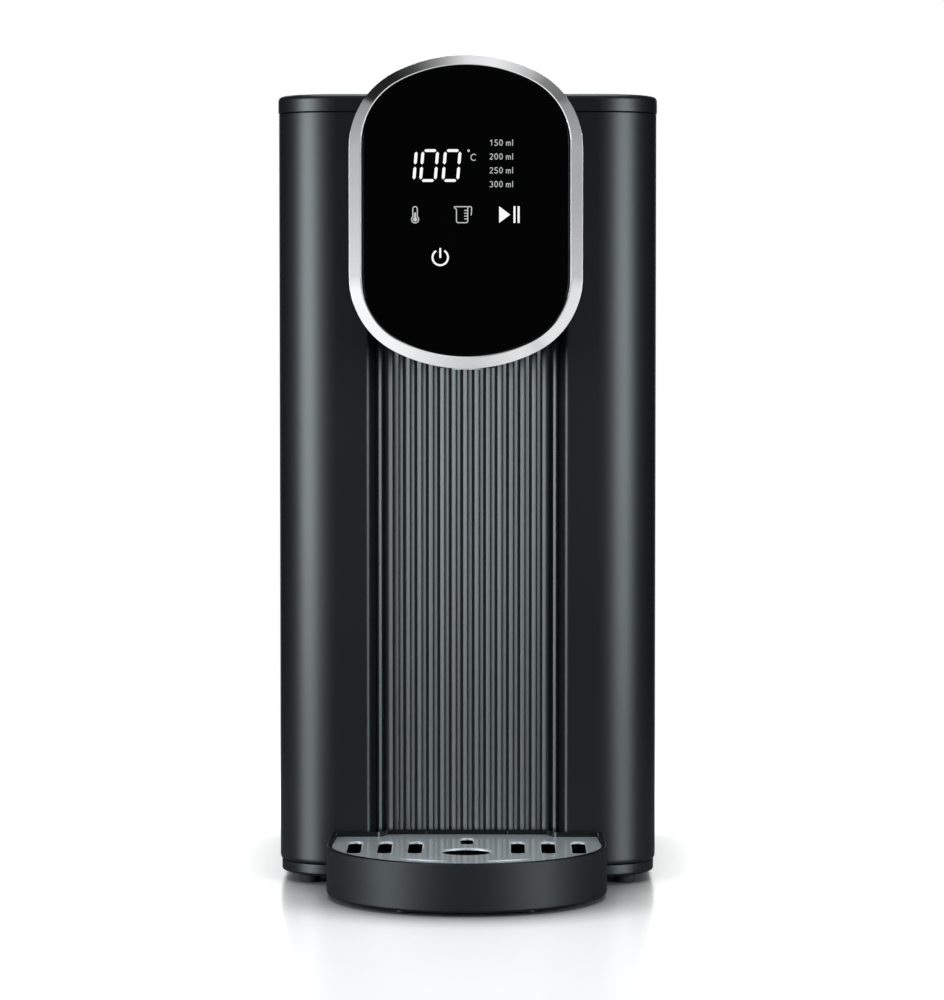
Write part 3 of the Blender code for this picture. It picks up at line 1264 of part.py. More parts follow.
def make_spout():
    centre = (0, SPOUT_Y, 0)
    bottom = HEAD_BOTTOM_Z + SPOUT_RECESS
    neck_z = SPOUT_FLANGE_Z + SPOUT_FLANGE_THICKNESS
    profile = [
        (SPOUT_BORE, bottom),
        (SPOUT_RADIUS, bottom),
        (SPOUT_RADIUS, SPOUT_FLANGE_Z),
        (SPOUT_FLANGE_RADIUS, SPOUT_FLANGE_Z),
        (SPOUT_FLANGE_RADIUS, neck_z),
        (NOZZLE_RADIUS, neck_z + NOZZLE_SHOULDER),
        (NOZZLE_RADIUS, SPOUT_TOP_Z + NOZZLE_LENGTH),
        (NOZZLE_BORE, SPOUT_TOP_Z + NOZZLE_LENGTH),
        (NOZZLE_BORE, SPOUT_FLANGE_Z),
        (SPOUT_BORE, SPOUT_FLANGE_Z - NOZZLE_SHOULDER),
    ]
    turned("spout", profile, centre, "white_plastic")
    seal_z = SPOUT_BOSS_Z + GAP
    seal = sleeve(SPOUT_FLANGE_RADIUS, SPOUT_RADIUS + GAP, seal_z, seal_z + SEAL_THICKNESS)
    turned("spout_seal", seal, centre, "silicone")


def tray_outline():
    """Straight sides into a half-round front; the rear edge steps back into the channel."""
    middle_y = FRONT_Y - TRAY_REACH + TRAY_RADIUS
    rear = FRONT_Y - TRAY_BODY_GAP
    half = TRAY_RADIUS - TRAY_TAPER
    run_y = rear - TRAY_LIP_RUN
    front = arc((0, middle_y), TRAY_RADIUS, 180, 360, 4 * CORNER_STEPS)
    step_inner = TRAY_STEP_HALF_WIDTH - TRAY_STEP_TAPER
    step_y = FRONT_Y + TRAY_STEP_DEPTH
    return (
        [(-half, rear), (-half, run_y)]
        + front
        + [(half, run_y), (half, rear), (TRAY_STEP_HALF_WIDTH, rear), (step_inner, step_y)]
        + [(-step_inner, step_y), (-TRAY_STEP_HALF_WIDTH, rear)]
    )


def make_tray():
    outer = tray_outline()
    lip_start = FRONT_Y - TRAY_BODY_GAP - TRAY_LIP_RUN / 2

    def rim(inset, height):
        raised = [height + (TRAY_LIP if y > lip_start else 0.0) for x, y in outer]
        return [Vector((x, y, z)) for (x, y), z in zip(offset(outer, inset), raised)]

    ledge_z = TRAY_RIM_HEIGHT - GRID_BELOW_RIM - GRID_THICKNESS - GAP
    tray = lofted(
        "drip_tray",
        [
            at_height(offset(outer, TRAY_EDGE / 2), TRAY_BOTTOM),
            at_height(outer, TRAY_BOTTOM + TRAY_EDGE / 2),
            at_height(outer, TRAY_RIM_HEIGHT - TRAY_EDGE),
            rim(TRAY_EDGE / 3, TRAY_RIM_HEIGHT - TRAY_EDGE / 3),
            rim(TRAY_EDGE, TRAY_RIM_HEIGHT),
            rim(TRAY_WALL, TRAY_RIM_HEIGHT),
            at_height(offset(outer, TRAY_WALL), ledge_z),
            at_height(offset(outer, TRAY_WALL + TRAY_LEDGE), ledge_z),
            at_height(offset(outer, TRAY_WALL + TRAY_LEDGE), TRAY_BOTTOM + TRAY_FLOOR),
        ],
        "matte_black",
    )
    hook_z = HOUSING_Z + HOOK_ABOVE_HOUSING
    for hand in (-1, 1):
        middle = hand * HOOK_SPREAD
        hook = box(
            f"tray_hook_{hand}",
            (middle - HOOK_WIDTH / 2, middle + HOOK_WIDTH / 2),
            (FRONT_Y - TRAY_BODY_GAP - TRAY_WALL / 2, FRONT_Y - TRAY_BODY_GAP + HOOK_LENGTH),
            (hook_z, hook_z + HOOK_THICKNESS),
            "matte_black",
        )
        join(tray, hook)
        nub_y = FRONT_Y - TRAY_REACH + TRAY_NUB_SETBACK
        nub_centre = (hand * TRAY_NUB_SPREAD, nub_y, 0)
        nub = rod(TRAY_NUB_RADIUS, 0, TRAY_BOTTOM + TRAY_FLOOR / 2)
        join(tray, turned(f"tray_nub_{hand}", nub, nub_centre, "matte_black", steps=SMALL_STEPS))


def slot_tool(name, across, middle_y, width, length, z0, z1):
    radius = width / 2
    reach = length / 2 - radius
    outline = arc((across, middle_y + reach), radius, 0, 180, 4)
    outline += arc((across, middle_y - reach), radius, 180, 360, 4)
    return lofted(name, [at_height(outline, z0), at_height(outline, z1)], "satin_steel")


def make_grid():
    outline = offset(tray_outline(), TRAY_WALL + GRID_GAP)
    top = TRAY_RIM_HEIGHT - GRID_BELOW_RIM
    bottom = top - GRID_THICKNESS
    grid = lofted("drip_grid", [at_height(outline, bottom), at_height(outline, top)], "satin_steel")
    low, high = bottom - OVERRUN, top + OVERRUN
    slot_y = FRONT_Y - SLOT_FORWARD
    for i in range(SLOTS_EACH_SIDE):
        for hand in (-1, 1):
            across = hand * (SLOT_FIRST_OFFSET + i * SLOT_PITCH)
            cut(grid, slot_tool(f"slot_{hand}_{i}", across, slot_y, SLOT_WIDTH, SLOT_LENGTH, low, high))
    rear_y = FRONT_Y - REAR_SLOT_FORWARD
    cut(grid, slot_tool("slot_rear", 0, rear_y, REAR_SLOT_WIDTH, REAR_SLOT_LENGTH, low, high))
    cut(grid, turned("drain_hole", rod(DRAIN_RADIUS, low, high), (0, SPOUT_Y, 0), "satin_steel"))


def make_tank():
    outer = rounded_rectangle(HALF_WIDTH, TANK_FRONT_Y, TANK_REAR_Y, TANK_FRONT_RADIUS, CORNER_RADIUS)
    inner = offset(outer, TANK_WALL)
    tank = lofted(
        "water_tank",
        [
            at_height(offset(outer, HEM_INSET), TANK_Z),
            at_height(outer, TANK_Z + HEM_HEIGHT),
            at_height(outer, HOUSING_TOP_Z),
            at_height(inner, HOUSING_TOP_Z),
            at_height(inner, TANK_INNER_Z),
        ],
        "smoked_clear",
    )
    hole = rod(VALVE_RADIUS + GAP, TANK_Z - OVERRUN, TANK_INNER_Z + OVERRUN)
    cut(tank, turned("valve_hole", hole, (DOCK_ACROSS, DOCK_Y, 0), "smoked_clear"))
    lug_inner = HINGE_KNUCKLE_LENGTH / 2 + GAP
    lug_outer = lug_inner + HINGE_LUG_LENGTH
    for hand in (-1, 1):
        middle = hand * HINGE_SPREAD
        place = (0, HINGE_Y, HINGE_Z)
        for side in (-1, 1):
            span = (middle + side * lug_inner, middle + side * lug_outer)
            join(tank, hinge_lug(f"tank_lug_{hand}_{side}", span))
        bore = rod(HINGE_PIN_RADIUS + GAP, middle - lug_outer - OVERRUN, middle + lug_outer + OVERRUN)
        cut(tank, turned(f"tank_lug_bore_{hand}", bore, place, "smoked_clear", "X", SMALL_STEPS))
        pin = rod(HINGE_PIN_RADIUS, middle - lug_outer, middle + lug_outer)
        side_name = "left" if hand < 0 else "right"
        turned("hinge_pin_" + side_name, pin, place, "spring_steel", "X", SMALL_STEPS)


def hinge_lug(name, span):
    """An ear on the tank's rear wall: round about the hinge's axis, sloping down to the wall."""
    wall_y = TANK_REAR_Y - TANK_WALL / 2
    below = HOUSING_TOP_Z - GAP
    outline = arc((HINGE_Y, HINGE_Z), HINGE_RADIUS, 150, -60, 10)
    outline += [(wall_y, HINGE_Z - 4 * HINGE_RADIUS), (wall_y, below), (TANK_REAR_Y + GAP / 2, below)]
    return lofted(name, [at_side(outline, span[0]), at_side(outline, span[1])], "smoked_clear")


def make_tank_lid():
    lid = make_cap(
        "tank_lid",
        HALF_WIDTH + COVER_OVERHANG,
        TANK_FRONT_Y,
        TANK_REAR_Y,
        TANK_FRONT_RADIUS + COVER_OVERHANG,
        CORNER_RADIUS,
        TANK_WALL,
    )
    origin = Vector((0, HINGE_Y, HINGE_Z))
    for vertex in lid.data.vertices:
        vertex.co -= origin
    lid.location = origin
    for hand in (-1, 1):
        half = HINGE_KNUCKLE_LENGTH / 2
        middle = hand * HINGE_SPREAD
        outline = arc((HINGE_Y, HINGE_Z), HINGE_RADIUS, 90, -180, 12)
        outline += [(HINGE_Y - HINGE_RADIUS, HINGE_Z + GAP), (TANK_REAR_Y - LIP_THICKNESS, HINGE_Z + GAP)]
        outline += [(TANK_REAR_Y - LIP_THICKNESS, HINGE_Z + HINGE_RADIUS)]
        rings = [at_side(outline, middle - half), at_side(outline, middle + half)]
        join(lid, lofted(f"lid_knuckle_{hand}", rings, "matte_black"))
        bore = rod(HINGE_PIN_RADIUS + GAP, middle - half - OVERRUN, middle + half + OVERRUN)
        cut(lid, turned(f"lid_knuckle_bore_{hand}", bore, tuple(origin), "matte_black", "X", SMALL_STEPS))


def make_valve():
    centre = (DOCK_ACROSS, DOCK_Y, 0)
    body = [
        (VALVE_SEAT_BORE, VALVE_BOTTOM_Z),
        (VALVE_RADIUS, VALVE_BOTTOM_Z),
        (VALVE_RADIUS, VALVE_FLANGE_Z),
        (VALVE_FLANGE_RADIUS, VALVE_FLANGE_Z),
        (VALVE_FLANGE_RADIUS, VALVE_TOP_Z),
        (VALVE_BORE, VALVE_TOP_Z),
        (VALVE_BORE, VALVE_SEAT_Z),
        (VALVE_SEAT_BORE, VALVE_SEAT_Z),
    ]
    turned("valve_body", body, centre, "grey_plastic")
    disc_radius = (VALVE_BORE + VALVE_SEAT_BORE) / 2
    stem_top = PLUNGER_DISC_TOP_Z + PLUNGER_HEAD_LENGTH
    plunger = [
        (0, DOCK_PIN_TOP_Z + GAP),
        (PLUNGER_STEM_RADIUS, DOCK_PIN_TOP_Z + GAP),
        (PLUNGER_STEM_RADIUS, PLUNGER_DISC_Z),
        (disc_radius, PLUNGER_DISC_Z),
        (disc_radius, PLUNGER_DISC_TOP_Z),
        (PLUNGER_STEM_RADIUS, PLUNGER_DISC_TOP_Z),
        (PLUNGER_STEM_RADIUS, stem_top),
        (0, stem_top),
    ]
    turned("valve_plunger", plunger, centre, "silicone", steps=SMALL_STEPS)
    make_strainer(centre)
    make_valve_spring(centre)


def make_strainer(centre):
    """The cap over the valve: side slots let the water in, and its top guides the plunger's stem."""
    inner = STRAINER_RADIUS - STRAINER_WALL
    profile = [
        (STRAINER_RADIUS, STRAINER_Z),
        (STRAINER_RADIUS, STRAINER_TOP_Z),
        (PLUNGER_STEM_RADIUS + GAP, STRAINER_TOP_Z),
        (PLUNGER_STEM_RADIUS + GAP, STRAINER_TOP_Z - STRAINER_WALL),
        (inner, STRAINER_TOP_Z - STRAINER_WALL),
        (inner, STRAINER_Z),
    ]
    strainer = turned("tank_strainer", profile, centre, "white_plastic")
    half = STRAINER_WALL
    low, high = STRAINER_Z + STRAINER_WALL, STRAINER_TOP_Z - 2 * STRAINER_WALL
    for i in range(3):
        turn = i * math.pi / 3
        along = Vector((math.cos(turn), math.sin(turn), 0)) * (STRAINER_RADIUS + OVERRUN)
        aside = Vector((-math.sin(turn), math.cos(turn), 0)) * half
        corners = [along + aside, aside - along, -along - aside, along - aside]
        rings = [[Vector((centre[0], centre[1], z)) + corner for corner in corners] for z in (low, high)]
        cut(strainer, lofted(f"strainer_slot_{i}", rings, "white_plastic"))


def make_valve_spring(centre):
    """A helix between the plunger's disc and the strainer's top."""
    low = PLUNGER_DISC_TOP_Z + GAP + SPRING_WIRE_RADIUS
    high = STRAINER_TOP_Z - STRAINER_WALL - GAP - SPRING_WIRE_RADIUS
    radius = (VALVE_BORE + PLUNGER_STEM_RADIUS) / 2
    steps = 10 * SPRING_TURNS
    path = []
    for i in range(steps + 1):
        turn = 2 * math.pi * SPRING_TURNS * i / steps
        place = Vector((radius * math.cos(turn), radius * math.sin(turn), low + (high - low) * i / steps))
        path.append(place + Vector(centre))
    wire = arc((0, 0), SPRING_WIRE_RADIUS, 0, 360, 5)[:-1]
    lofted("valve_spring", swept(path, wire, (0, 0, 1)), "spring_steel")


def make_float():
    centre = (FLOAT_ACROSS, FLOAT_Y, 0)
    foot_z = TANK_INNER_Z + GAP
    cap_z = FLOAT_Z + FLOAT_HEIGHT + FLOAT_TRAVEL + GAP
    post = [
        (0, foot_z),
        (FLOAT_POST_FOOT_RADIUS, foot_z),
        (FLOAT_POST_FOOT_RADIUS, foot_z + FLOAT_POST_FOOT_HEIGHT),
        (FLOAT_POST_RADIUS, foot_z + FLOAT_POST_FOOT_HEIGHT),
        (FLOAT_POST_RADIUS, cap_z),
        (FLOAT_CAP_RADIUS, cap_z),
        (FLOAT_CAP_RADIUS, cap_z + FLOAT_CAP_HEIGHT),
        (0, cap_z + FLOAT_CAP_HEIGHT),
    ]
    turned("float_post", post, centre, "white_plastic", steps=SMALL_STEPS)
    body = sleeve(FLOAT_RADIUS, FLOAT_POST_RADIUS + MOVING_GAP, FLOAT_Z, FLOAT_Z + FLOAT_HEIGHT)
    turned("tank_float", body, centre, "white_plastic", origin=(FLOAT_ACROSS, FLOAT_Y, FLOAT_Z))


def main():
    clear_scene()
    make_plinth()
    make_feet()
    make_housing()
    make_splash_panel()
    make_bulkhead()
    make_top_cover()
    make_shelf()
    make_dock()
    make_pump()
    make_heater()
    make_hoses()
    make_power_board()
    make_leads()
    make_head_housing()
    make_bezel_and_glass()
    make_display()
    make_spout()
    make_tray()
    make_grid()
    make_tank()
    make_tank_lid()
    make_valve()
    make_float()


main()
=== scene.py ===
"""Looks of a countertop hot water dispenser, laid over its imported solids.

Every piece is a surface worked out with numpy in metres: an outline carried through a row of levels, or a
profile turned about an axis. +Z is up, the front faces -Y and the object stands on z = 0.
"""

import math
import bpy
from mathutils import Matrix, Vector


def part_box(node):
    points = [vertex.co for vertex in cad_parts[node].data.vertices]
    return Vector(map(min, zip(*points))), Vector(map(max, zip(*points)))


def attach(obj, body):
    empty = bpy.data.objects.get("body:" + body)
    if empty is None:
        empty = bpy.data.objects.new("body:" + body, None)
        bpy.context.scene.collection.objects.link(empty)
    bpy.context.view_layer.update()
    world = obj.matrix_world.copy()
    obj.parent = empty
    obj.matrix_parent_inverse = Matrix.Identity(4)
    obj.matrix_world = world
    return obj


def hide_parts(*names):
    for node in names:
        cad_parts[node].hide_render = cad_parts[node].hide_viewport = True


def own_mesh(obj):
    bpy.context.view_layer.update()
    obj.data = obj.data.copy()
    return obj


bl_info = {
    "name": "Water Dispenser Looks",
    "version": (1, 0, 0),
    "blender": (4, 5, 0),
    "location": "View3D > Sidebar > Dispenser",
    "description": "Makes the visible surfaces and finishes of a hot water dispenser, piece by piece",
    "category": "Object",
}

import bmesh
import bpy
import numpy as np
from bpy.props import FloatProperty, FloatVectorProperty, IntProperty, PointerProperty
from mathutils import Vector

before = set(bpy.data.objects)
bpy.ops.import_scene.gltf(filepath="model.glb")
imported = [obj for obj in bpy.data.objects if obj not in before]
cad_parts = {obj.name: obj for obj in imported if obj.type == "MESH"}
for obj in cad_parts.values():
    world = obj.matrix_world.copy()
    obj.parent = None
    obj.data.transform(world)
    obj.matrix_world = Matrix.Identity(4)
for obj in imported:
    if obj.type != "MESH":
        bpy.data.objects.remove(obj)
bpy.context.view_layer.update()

X, Y, Z = 0, 1, 2
LOW = {name: np.array(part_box(name)[0]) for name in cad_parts}
HIGH = {name: np.array(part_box(name)[1]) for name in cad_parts}


def span(node, axis=Z):
    """A node's lowest and highest place along an axis."""
    return LOW[node][axis], HIGH[node][axis]


def centre(node):
    """The middle of a node's box."""
    return (LOW[node] + HIGH[node]) / 2


def under(place):
    """The point on the ground below a place."""
    return (place[X], place[Y], 0)


# Places read from the frame
HALF_WIDTH = HIGH["front_housing"][X]
FRONT, HOUSING_REAR = span("front_housing", Y)
HOUSING_FLOOR, HOUSING_TOP = span("front_housing")
COVER_FLOOR = HOUSING_TOP + 0.0003
BODY_TOP = HIGH["top_cover"][Z]
TANK_FRONT, TANK_REAR = span("tank_shelf", Y)
SHELF_TOP = HIGH["tank_shelf"][Z]
PLINTH_FLOOR, PLINTH_TOP = span("base_plinth")
GRID_FLOOR, GRID_TOP = span("drip_grid")
HEAD_FACE = LOW["head_bezel"][Y]
HEAD_FLOOR = LOW["head_bezel"][Z]
HEAD_CENTRE = centre("head_bezel")[Z] + 0.0004
GLASS_NEAR, GLASS_FAR = span("touch_glass", Y)
MARK_NEAR, MARK_FAR = GLASS_NEAR - 0.00006, GLASS_NEAR - 0.00002
SPOUT = (0, centre("spout")[Y], 0)
DOCK = centre("dock_seal")
FLOAT = centre("tank_float")
HINGE = centre("hinge_pin_left")
GLAND = centre("cord_gland")

# Clearances, rounds and step counts
GAP = 0.0003
OVERRUN = 0.001
TRAY_GAP = 0.0005
TINY_ROUND = 0.0002
EDGE_ROUND = 0.0003
CORNER_STEPS = 14
TURN_STEPS = 64
SIDES = (-1, 1)

# Sizes that two pieces share
HOOK_PLACE = 0.0515
HINGE_ROUND = 0.0028
HINGE_BORE = 0.0014
TANK_WALL = 0.0022
SCREW_BORE = 0.0018
BOSS_RADIUS, BOSS_HEIGHT = 0.0042, 0.020
PASSAGE_HALF_WIDTH, PASSAGE_FLOOR, PASSAGE_TOP = 0.018, 0.2924, 0.3164
SPOUT_BORE = 0.0065


def length(name, description, default):
    """A setting in metres."""
    return FloatProperty(name=name, description=description, default=default, unit="LENGTH")


def colour(name, description, default):
    """A colour setting, linear red, green and blue."""
    return FloatVectorProperty(name=name, description=description, default=default, subtype="COLOR", size=3)


def power(name, description, default):
    """A lamp's power in watts."""
    return FloatProperty(name=name, description=description, default=default, unit="POWER")


def angle(name, description, degrees):
    """An angle, given in degrees and kept in radians."""
    return FloatProperty(name=name, description=description, default=math.radians(degrees), subtype="ANGLE")


class BodySizes(bpy.types.PropertyGroup):
    corner_radius: length("Corner radius", "Round of the body's upright front corners", 0.0272)
    wall: length("Wall", "Thickness of the housing's wall", 0.0024)
    hem: length("Hem", "How far the housing draws in at its foot", 0.0009)
    hem_height: length("Hem height", "Height of the drawn-in foot", 0.0022)
    channel_half_width: length("Channel half width", "Half of the channel's mouth", 0.0437)
    channel_taper: length("Channel taper", "How far each channel wall leans in", 0.0032)
    channel_depth: length("Channel depth", "Depth of the channel", 0.0110)
    channel_edge: length("Channel edge", "Round of the channel's upright edges", 0.0024)
    channel_top: length("Channel top", "Height where the channel starts to fade out", 0.2614)
    cover_edge: length("Cover edge", "Round of the covers' top edges", 0.0024)
    cover_overhang: length("Cover overhang", "How far the covers stand out over the walls", 0.0003)
    lip_depth: length("Lip depth", "How far a cover's lip drops inside the wall", 0.0030)
    lip_thickness: length("Lip thickness", "Thickness of a cover's lip", 0.0015)
    plinth_inset: length("Plinth inset", "How far the plinth stands back from the housing", 0.0007)
    plinth_wall: length("Plinth wall", "Thickness of the plinth's wall", 0.0020)
    plinth_edge: length("Plinth edge", "Round of the plinth's bottom edge", 0.0013)


class PanelSizes(bpy.types.PropertyGroup):
    ribs_each_side: IntProperty(name="Ribs each side", description="Full ribs beside the middle", default=6)
    pitch: length("Rib pitch", "Distance from rib to rib", 0.005135)
    rib_width: length("Rib width", "Width of a full rib", 0.00370)
    rib_height: length("Rib height", "How far a rib stands out of the plate", 0.0014)
    stripe: length("Stripe", "Width of the broad stripe along a rib's left side", 0.00172)
    line_width: length("Line width", "Width of the fine groove between a rib's two stripes", 0.00052)
    border_place: length("Border rib place", "Where the narrow rib at each end stands", 0.0350)
    border_width: length("Border rib width", "Width of the narrow rib", 0.0027)
    bead_place: length("Bead place", "Where the bead at each side stands", 0.0397)
    bead_width: length("Bead width", "Width of that bead", 0.0023)
    plate: length("Plate", "Thickness of the plate behind the ribs", 0.0013)


class HeadSizes(bpy.types.PropertyGroup):
    radius: length("Radius", "Radius of the head's round top and bottom", 0.0668)
    half_width: length("Half width", "Half of the head's width between its straight sides", 0.0499)
    fillet: length("Fillet", "Radius where the round meets a straight side", 0.0356)
    wall: length("Wall", "Thickness of the hood", 0.0020)
    fairing: length("Fairing", "Length over which the crown sinks to the body's top", 0.0300)
    bezel_face: length("Bezel face", "Width of the metal ring's face", 0.0052)
    bezel_slant: length("Bezel slant", "How far the ring's face slopes back to its outer edge", 0.0012)
    bezel_rise: length("Bezel rise", "How far the opening stands above the ring's middle", 0.0005)
    glass_gap: length("Glass gap", "Gap between the ring and the glass", 0.00045)


class TraySizes(bpy.types.PropertyGroup):
    reach: length("Reach", "How far the tray reaches in front of the body", 0.0910)
    radius: length("Radius", "Radius of the tray's half-round front", 0.0618)
    taper: length("Taper", "How far the sides draw in towards the rear", 0.0012)
    wall: length("Wall", "Thickness of the tray's wall", 0.0020)
    floor: length("Floor", "Thickness of the tray's floor", 0.0020)
    edge: length("Edge", "Round of the tray's bottom edge", 0.0012)
    rim_edge: length("Rim edge", "Round of the tray's rim", 0.0008)
    lip: length("Lip", "How far the rear wall stands above the rim", 0.0017)
    ledge: length("Ledge", "Width of the ledge that carries the grid", 0.0018)
    step_half_width: length("Step half width", "Half width of the part that enters the channel", 0.0403)
    step_depth: length("Step depth", "How far that part enters the channel", 0.0075)
    slot_width: length("Slot width", "Width of a slot in the grid", 0.0062)
    slot_length: length("Slot length", "Length of a slot in the grid", 0.0370)
    slot_pitch: length("Slot pitch", "Distance from slot to slot", 0.01335)
    drain_radius: length("Drain radius", "Radius of the drain hole", 0.0112)
    bead_radius: length("Bead radius", "Radius of the two raised arcs about the tray's centre", 0.0510)


class Finishes(bpy.types.PropertyGroup):
    body: colour("Body", "Satin black plastic of the casing", (0.0040, 0.0050, 0.0056))
    tray: colour("Tray", "Matt black plastic of the tray", (0.0022, 0.0033, 0.0038))
    panel: colour("Panel", "Satin dark grey of the ribbed panel", (0.0240, 0.0270, 0.0285))
    glass: colour("Glass", "Black glass of the display", (0.0006, 0.0006, 0.0006))
    bezel: colour("Bezel", "Polished metal of the display's ring", (0.82, 0.825, 0.835))
    grid: colour("Grid", "Stainless steel of the grid", (0.90, 0.92, 0.93))
    mark: colour("Marks", "Lit marks of the display", (1.0, 1.0, 1.0))
    dim_mark: colour("Dim marks", "Thin lit marks of the display", (0.55, 0.56, 0.57))
    tank: colour("Tank", "Smoked clear plastic of the tank", (0.045, 0.050, 0.054))


class Studio(bpy.types.PropertyGroup):
    focal_length: FloatProperty(name="Focal length", description="Lens in millimetres", default=141.08)
    camera_distance: length("Camera distance", "From the body's front to the camera", 1.747)
    camera_height: length("Camera height", "Height of the camera above the floor", 0.2603)
    camera_across: length("Camera across", "How far the camera stands to the right", 0.0140)
    camera_tilt: angle("Tilt", "How far the camera looks down", 2.851)
    camera_turn: angle("Turn", "How far the camera looks to the left", 0.389)
    side_power: power("Side light", "Power of the left lamp in watts", 12.6)
    top_power: power("Top light", "Power of the lamp overhead in watts", 10.5)
    back_power: power("Back light", "Power of the lamp behind in watts", 11.0)
    floor_radius: length("Floor radius", "Radius of the pale floor", 0.62)


# Outlines


def unit(vectors):
    """Vectors scaled to a length of one."""
    return vectors / np.linalg.norm(vectors, axis=-1, keepdims=True)


def arc(middle, radius, start, end, steps):
    """Points middle + radius (cos a, sin a) at even angles a, in degrees, both ends included."""
    a = np.radians(np.linspace(start, end, steps + 1))
    return np.stack([middle[0] + radius * np.cos(a), middle[1] + radius * np.sin(a)], axis=1)


def disc(middle, radius):
    """A full circle of 24 points."""
    return arc(middle, radius, 0, 345, 23)


def rounded(corners, radii, steps=6, closed=True):
    """A polygon with an arc at each corner; an open one keeps its two end points.

    With unit directions u and v from corner P to its neighbours and half the angle h between them, the arc
    runs from P + u r / tan h to P + v r / tan h about P + (u + v) / |u + v| r / sin h.
    """
    points = np.asarray(corners, float)
    u = unit(np.roll(points, 1, axis=0) - points)
    v = unit(np.roll(points, -1, axis=0) - points)
    radii = np.broadcast_to(np.asarray(radii, float), len(points))[:, None]
    half = np.arccos(np.clip((u * v).sum(axis=1, keepdims=True), -1, 1)) / 2
    middle = points + unit(u + v) * radii / np.sin(half)
    first = points + u * radii / np.tan(half) - middle
    last = points + v * radii / np.tan(half) - middle
    start = np.arctan2(first[:, 1], first[:, 0])
    sweep = (np.arctan2(last[:, 1], last[:, 0]) - start + math.pi) % (2 * math.pi) - math.pi
    turn = start[:, None] + sweep[:, None] * np.linspace(0, 1, steps + 1)
    rounds = middle[:, None] + radii[:, None] * np.stack([np.cos(turn), np.sin(turn)], axis=-1)
    if closed:
        return rounds.reshape(-1, 2)
    return np.concatenate([points[:1], rounds[1:-1].reshape(-1, 2), points[-1:]])


def inset(outline, distance, closed=True):
    """Each side moved to its left by the distance: a corner moves by (m + n) / (1 + m . n), with the
    unit normals m and n of its two sides."""
    points = np.asarray(outline, float)
    sides = unit(np.roll(points, -1, axis=0) - points)
    normals = np.stack([-sides[:, 1], sides[:, 0]], axis=1)
    before = np.roll(normals, 1, axis=0)
    if not closed:
        before[0] = normals[0]
        normals[-1] = before[-1]
    move = (before + normals) / (1 + (before * normals).sum(axis=1, keepdims=True))
    return points + move * distance


def shrunk(corners, radii, distance, steps, closed=True):
    """A rounded polygon drawn in by a distance, which outer corners lose in radius and inner ones gain."""
    points = np.asarray(corners, float)
    u = np.roll(points, 1, axis=0) - points
    v = np.roll(points, -1, axis=0) - points
    outer = np.sign(v[:, 0] * u[:, 1] - v[:, 1] * u[:, 0])
    radii = np.maximum(np.broadcast_to(radii, len(points)) - outer * distance, TINY_ROUND)
    return rounded(inset(points, distance, closed), radii, steps, closed)


def rectangle(x0, x1, y0, y1):
    """Its four corners, counterclockwise from the lower left."""
    return [(x0, y0), (x1, y0), (x1, y1), (x0, y1)]


def box_plan(x, y, half_x, half_y):
    """A rectangle about its middle."""
    return rectangle(x - half_x, x + half_x, y - half_y, y + half_y)


def smooth(value, low, high):
    """0 below low, 1 above high and 3t^2 - 2t^3 between."""
    t = np.clip((value - low) / (high - low), 0, 1)
    return t * t * (3 - 2 * t)


def flat(outline, z):
    """A plan outline as a level row of points."""
    return np.column_stack([outline, np.broadcast_to(z, len(outline))])


def upright(outline, y):
    """An outline of across and height as a row of points at one place front to back."""
    return flat(outline, y)[:, [0, 2, 1]]


def sideways(outline, x):
    """An outline of depth and height as a row of points at one place across."""
    return flat(outline, x)[:, [2, 0, 1]]


# Meshes and pieces


def rings(rows, loop=False, strips=False):
    """Points and faces of a closed skin through rows of equally many points, each row a closed ring.

    The ends join each other, or get a flat face; for a ring that folds back on itself that face is a strip
    of quads between point i and point n - 1 - i.
    """
    rows = np.asarray(rows, float)
    count = rows.shape[1]
    index = np.arange(rows.shape[0] * count).reshape(-1, count)
    lower = index if loop else index[:-1]
    upper = np.roll(index, -1, axis=0) if loop else index[1:]
    cells = np.stack([lower, np.roll(lower, -1, axis=1), np.roll(upper, -1, axis=1), upper], axis=-1)
    faces = cells.reshape(-1, 4).tolist()
    if strips:
        half = count // 2
        for ring in (index[0], index[-1]):
            back = ring[::-1]
            strip = np.stack([ring[: half - 1], ring[1:half], back[1:half], back[: half - 1]], axis=-1)
            faces += strip.tolist()
    elif not loop:
        faces += [index[0].tolist(), index[-1].tolist()]
    return rows.reshape(-1, 3), faces


def solid(name, points, faces):
    """A mesh with its doubles merged and its faces pointing out."""
    mesh = bpy.data.meshes.new(name)
    mesh.from_pydata(np.asarray(points).tolist(), [], faces)
    work = bmesh.new()
    work.from_mesh(mesh)
    bmesh.ops.remove_doubles(work, verts=work.verts, dist=1e-7)
    bmesh.ops.dissolve_degenerate(work, edges=work.edges, dist=1e-7)
    bmesh.ops.recalc_face_normals(work, faces=work.faces)
    work.to_mesh(mesh)
    work.free()
    return mesh


def skin(name, rows, **ends):
    """A closed mesh through rows of points; loop and strips say how it ends, as for rings."""
    return solid(name, *rings(rows, **ends))


def prism(name, outline, low, high, lay=flat):
    """An outline carried straight from one place to another."""
    return skin(name, [lay(outline, low), lay(outline, high)])


def turned(name, profile, place=(0, 0, 0), axis="Z", steps=TURN_STEPS, ring=False):
    """The (radius, height) profile turned about an upright axis: (r cos a, r sin a, h) for even angles a.

    The result is laid over for the axes Y and X. A ring closes on itself; any other profile ends at radius 0.
    """
    profile = np.asarray(profile, float)
    a = np.linspace(0, 2 * math.pi, steps, endpoint=False)
    radius, height = profile[:, :1], profile[:, 1:]
    rows = np.stack([radius * np.cos(a), radius * np.sin(a), height + 0 * a], axis=-1)
    order = {"Z": [0, 1, 2], "Y": [0, 2, 1], "X": [2, 0, 1]}[axis]
    return skin(name, rows[:, :, order] + np.asarray(place), loop=ring)


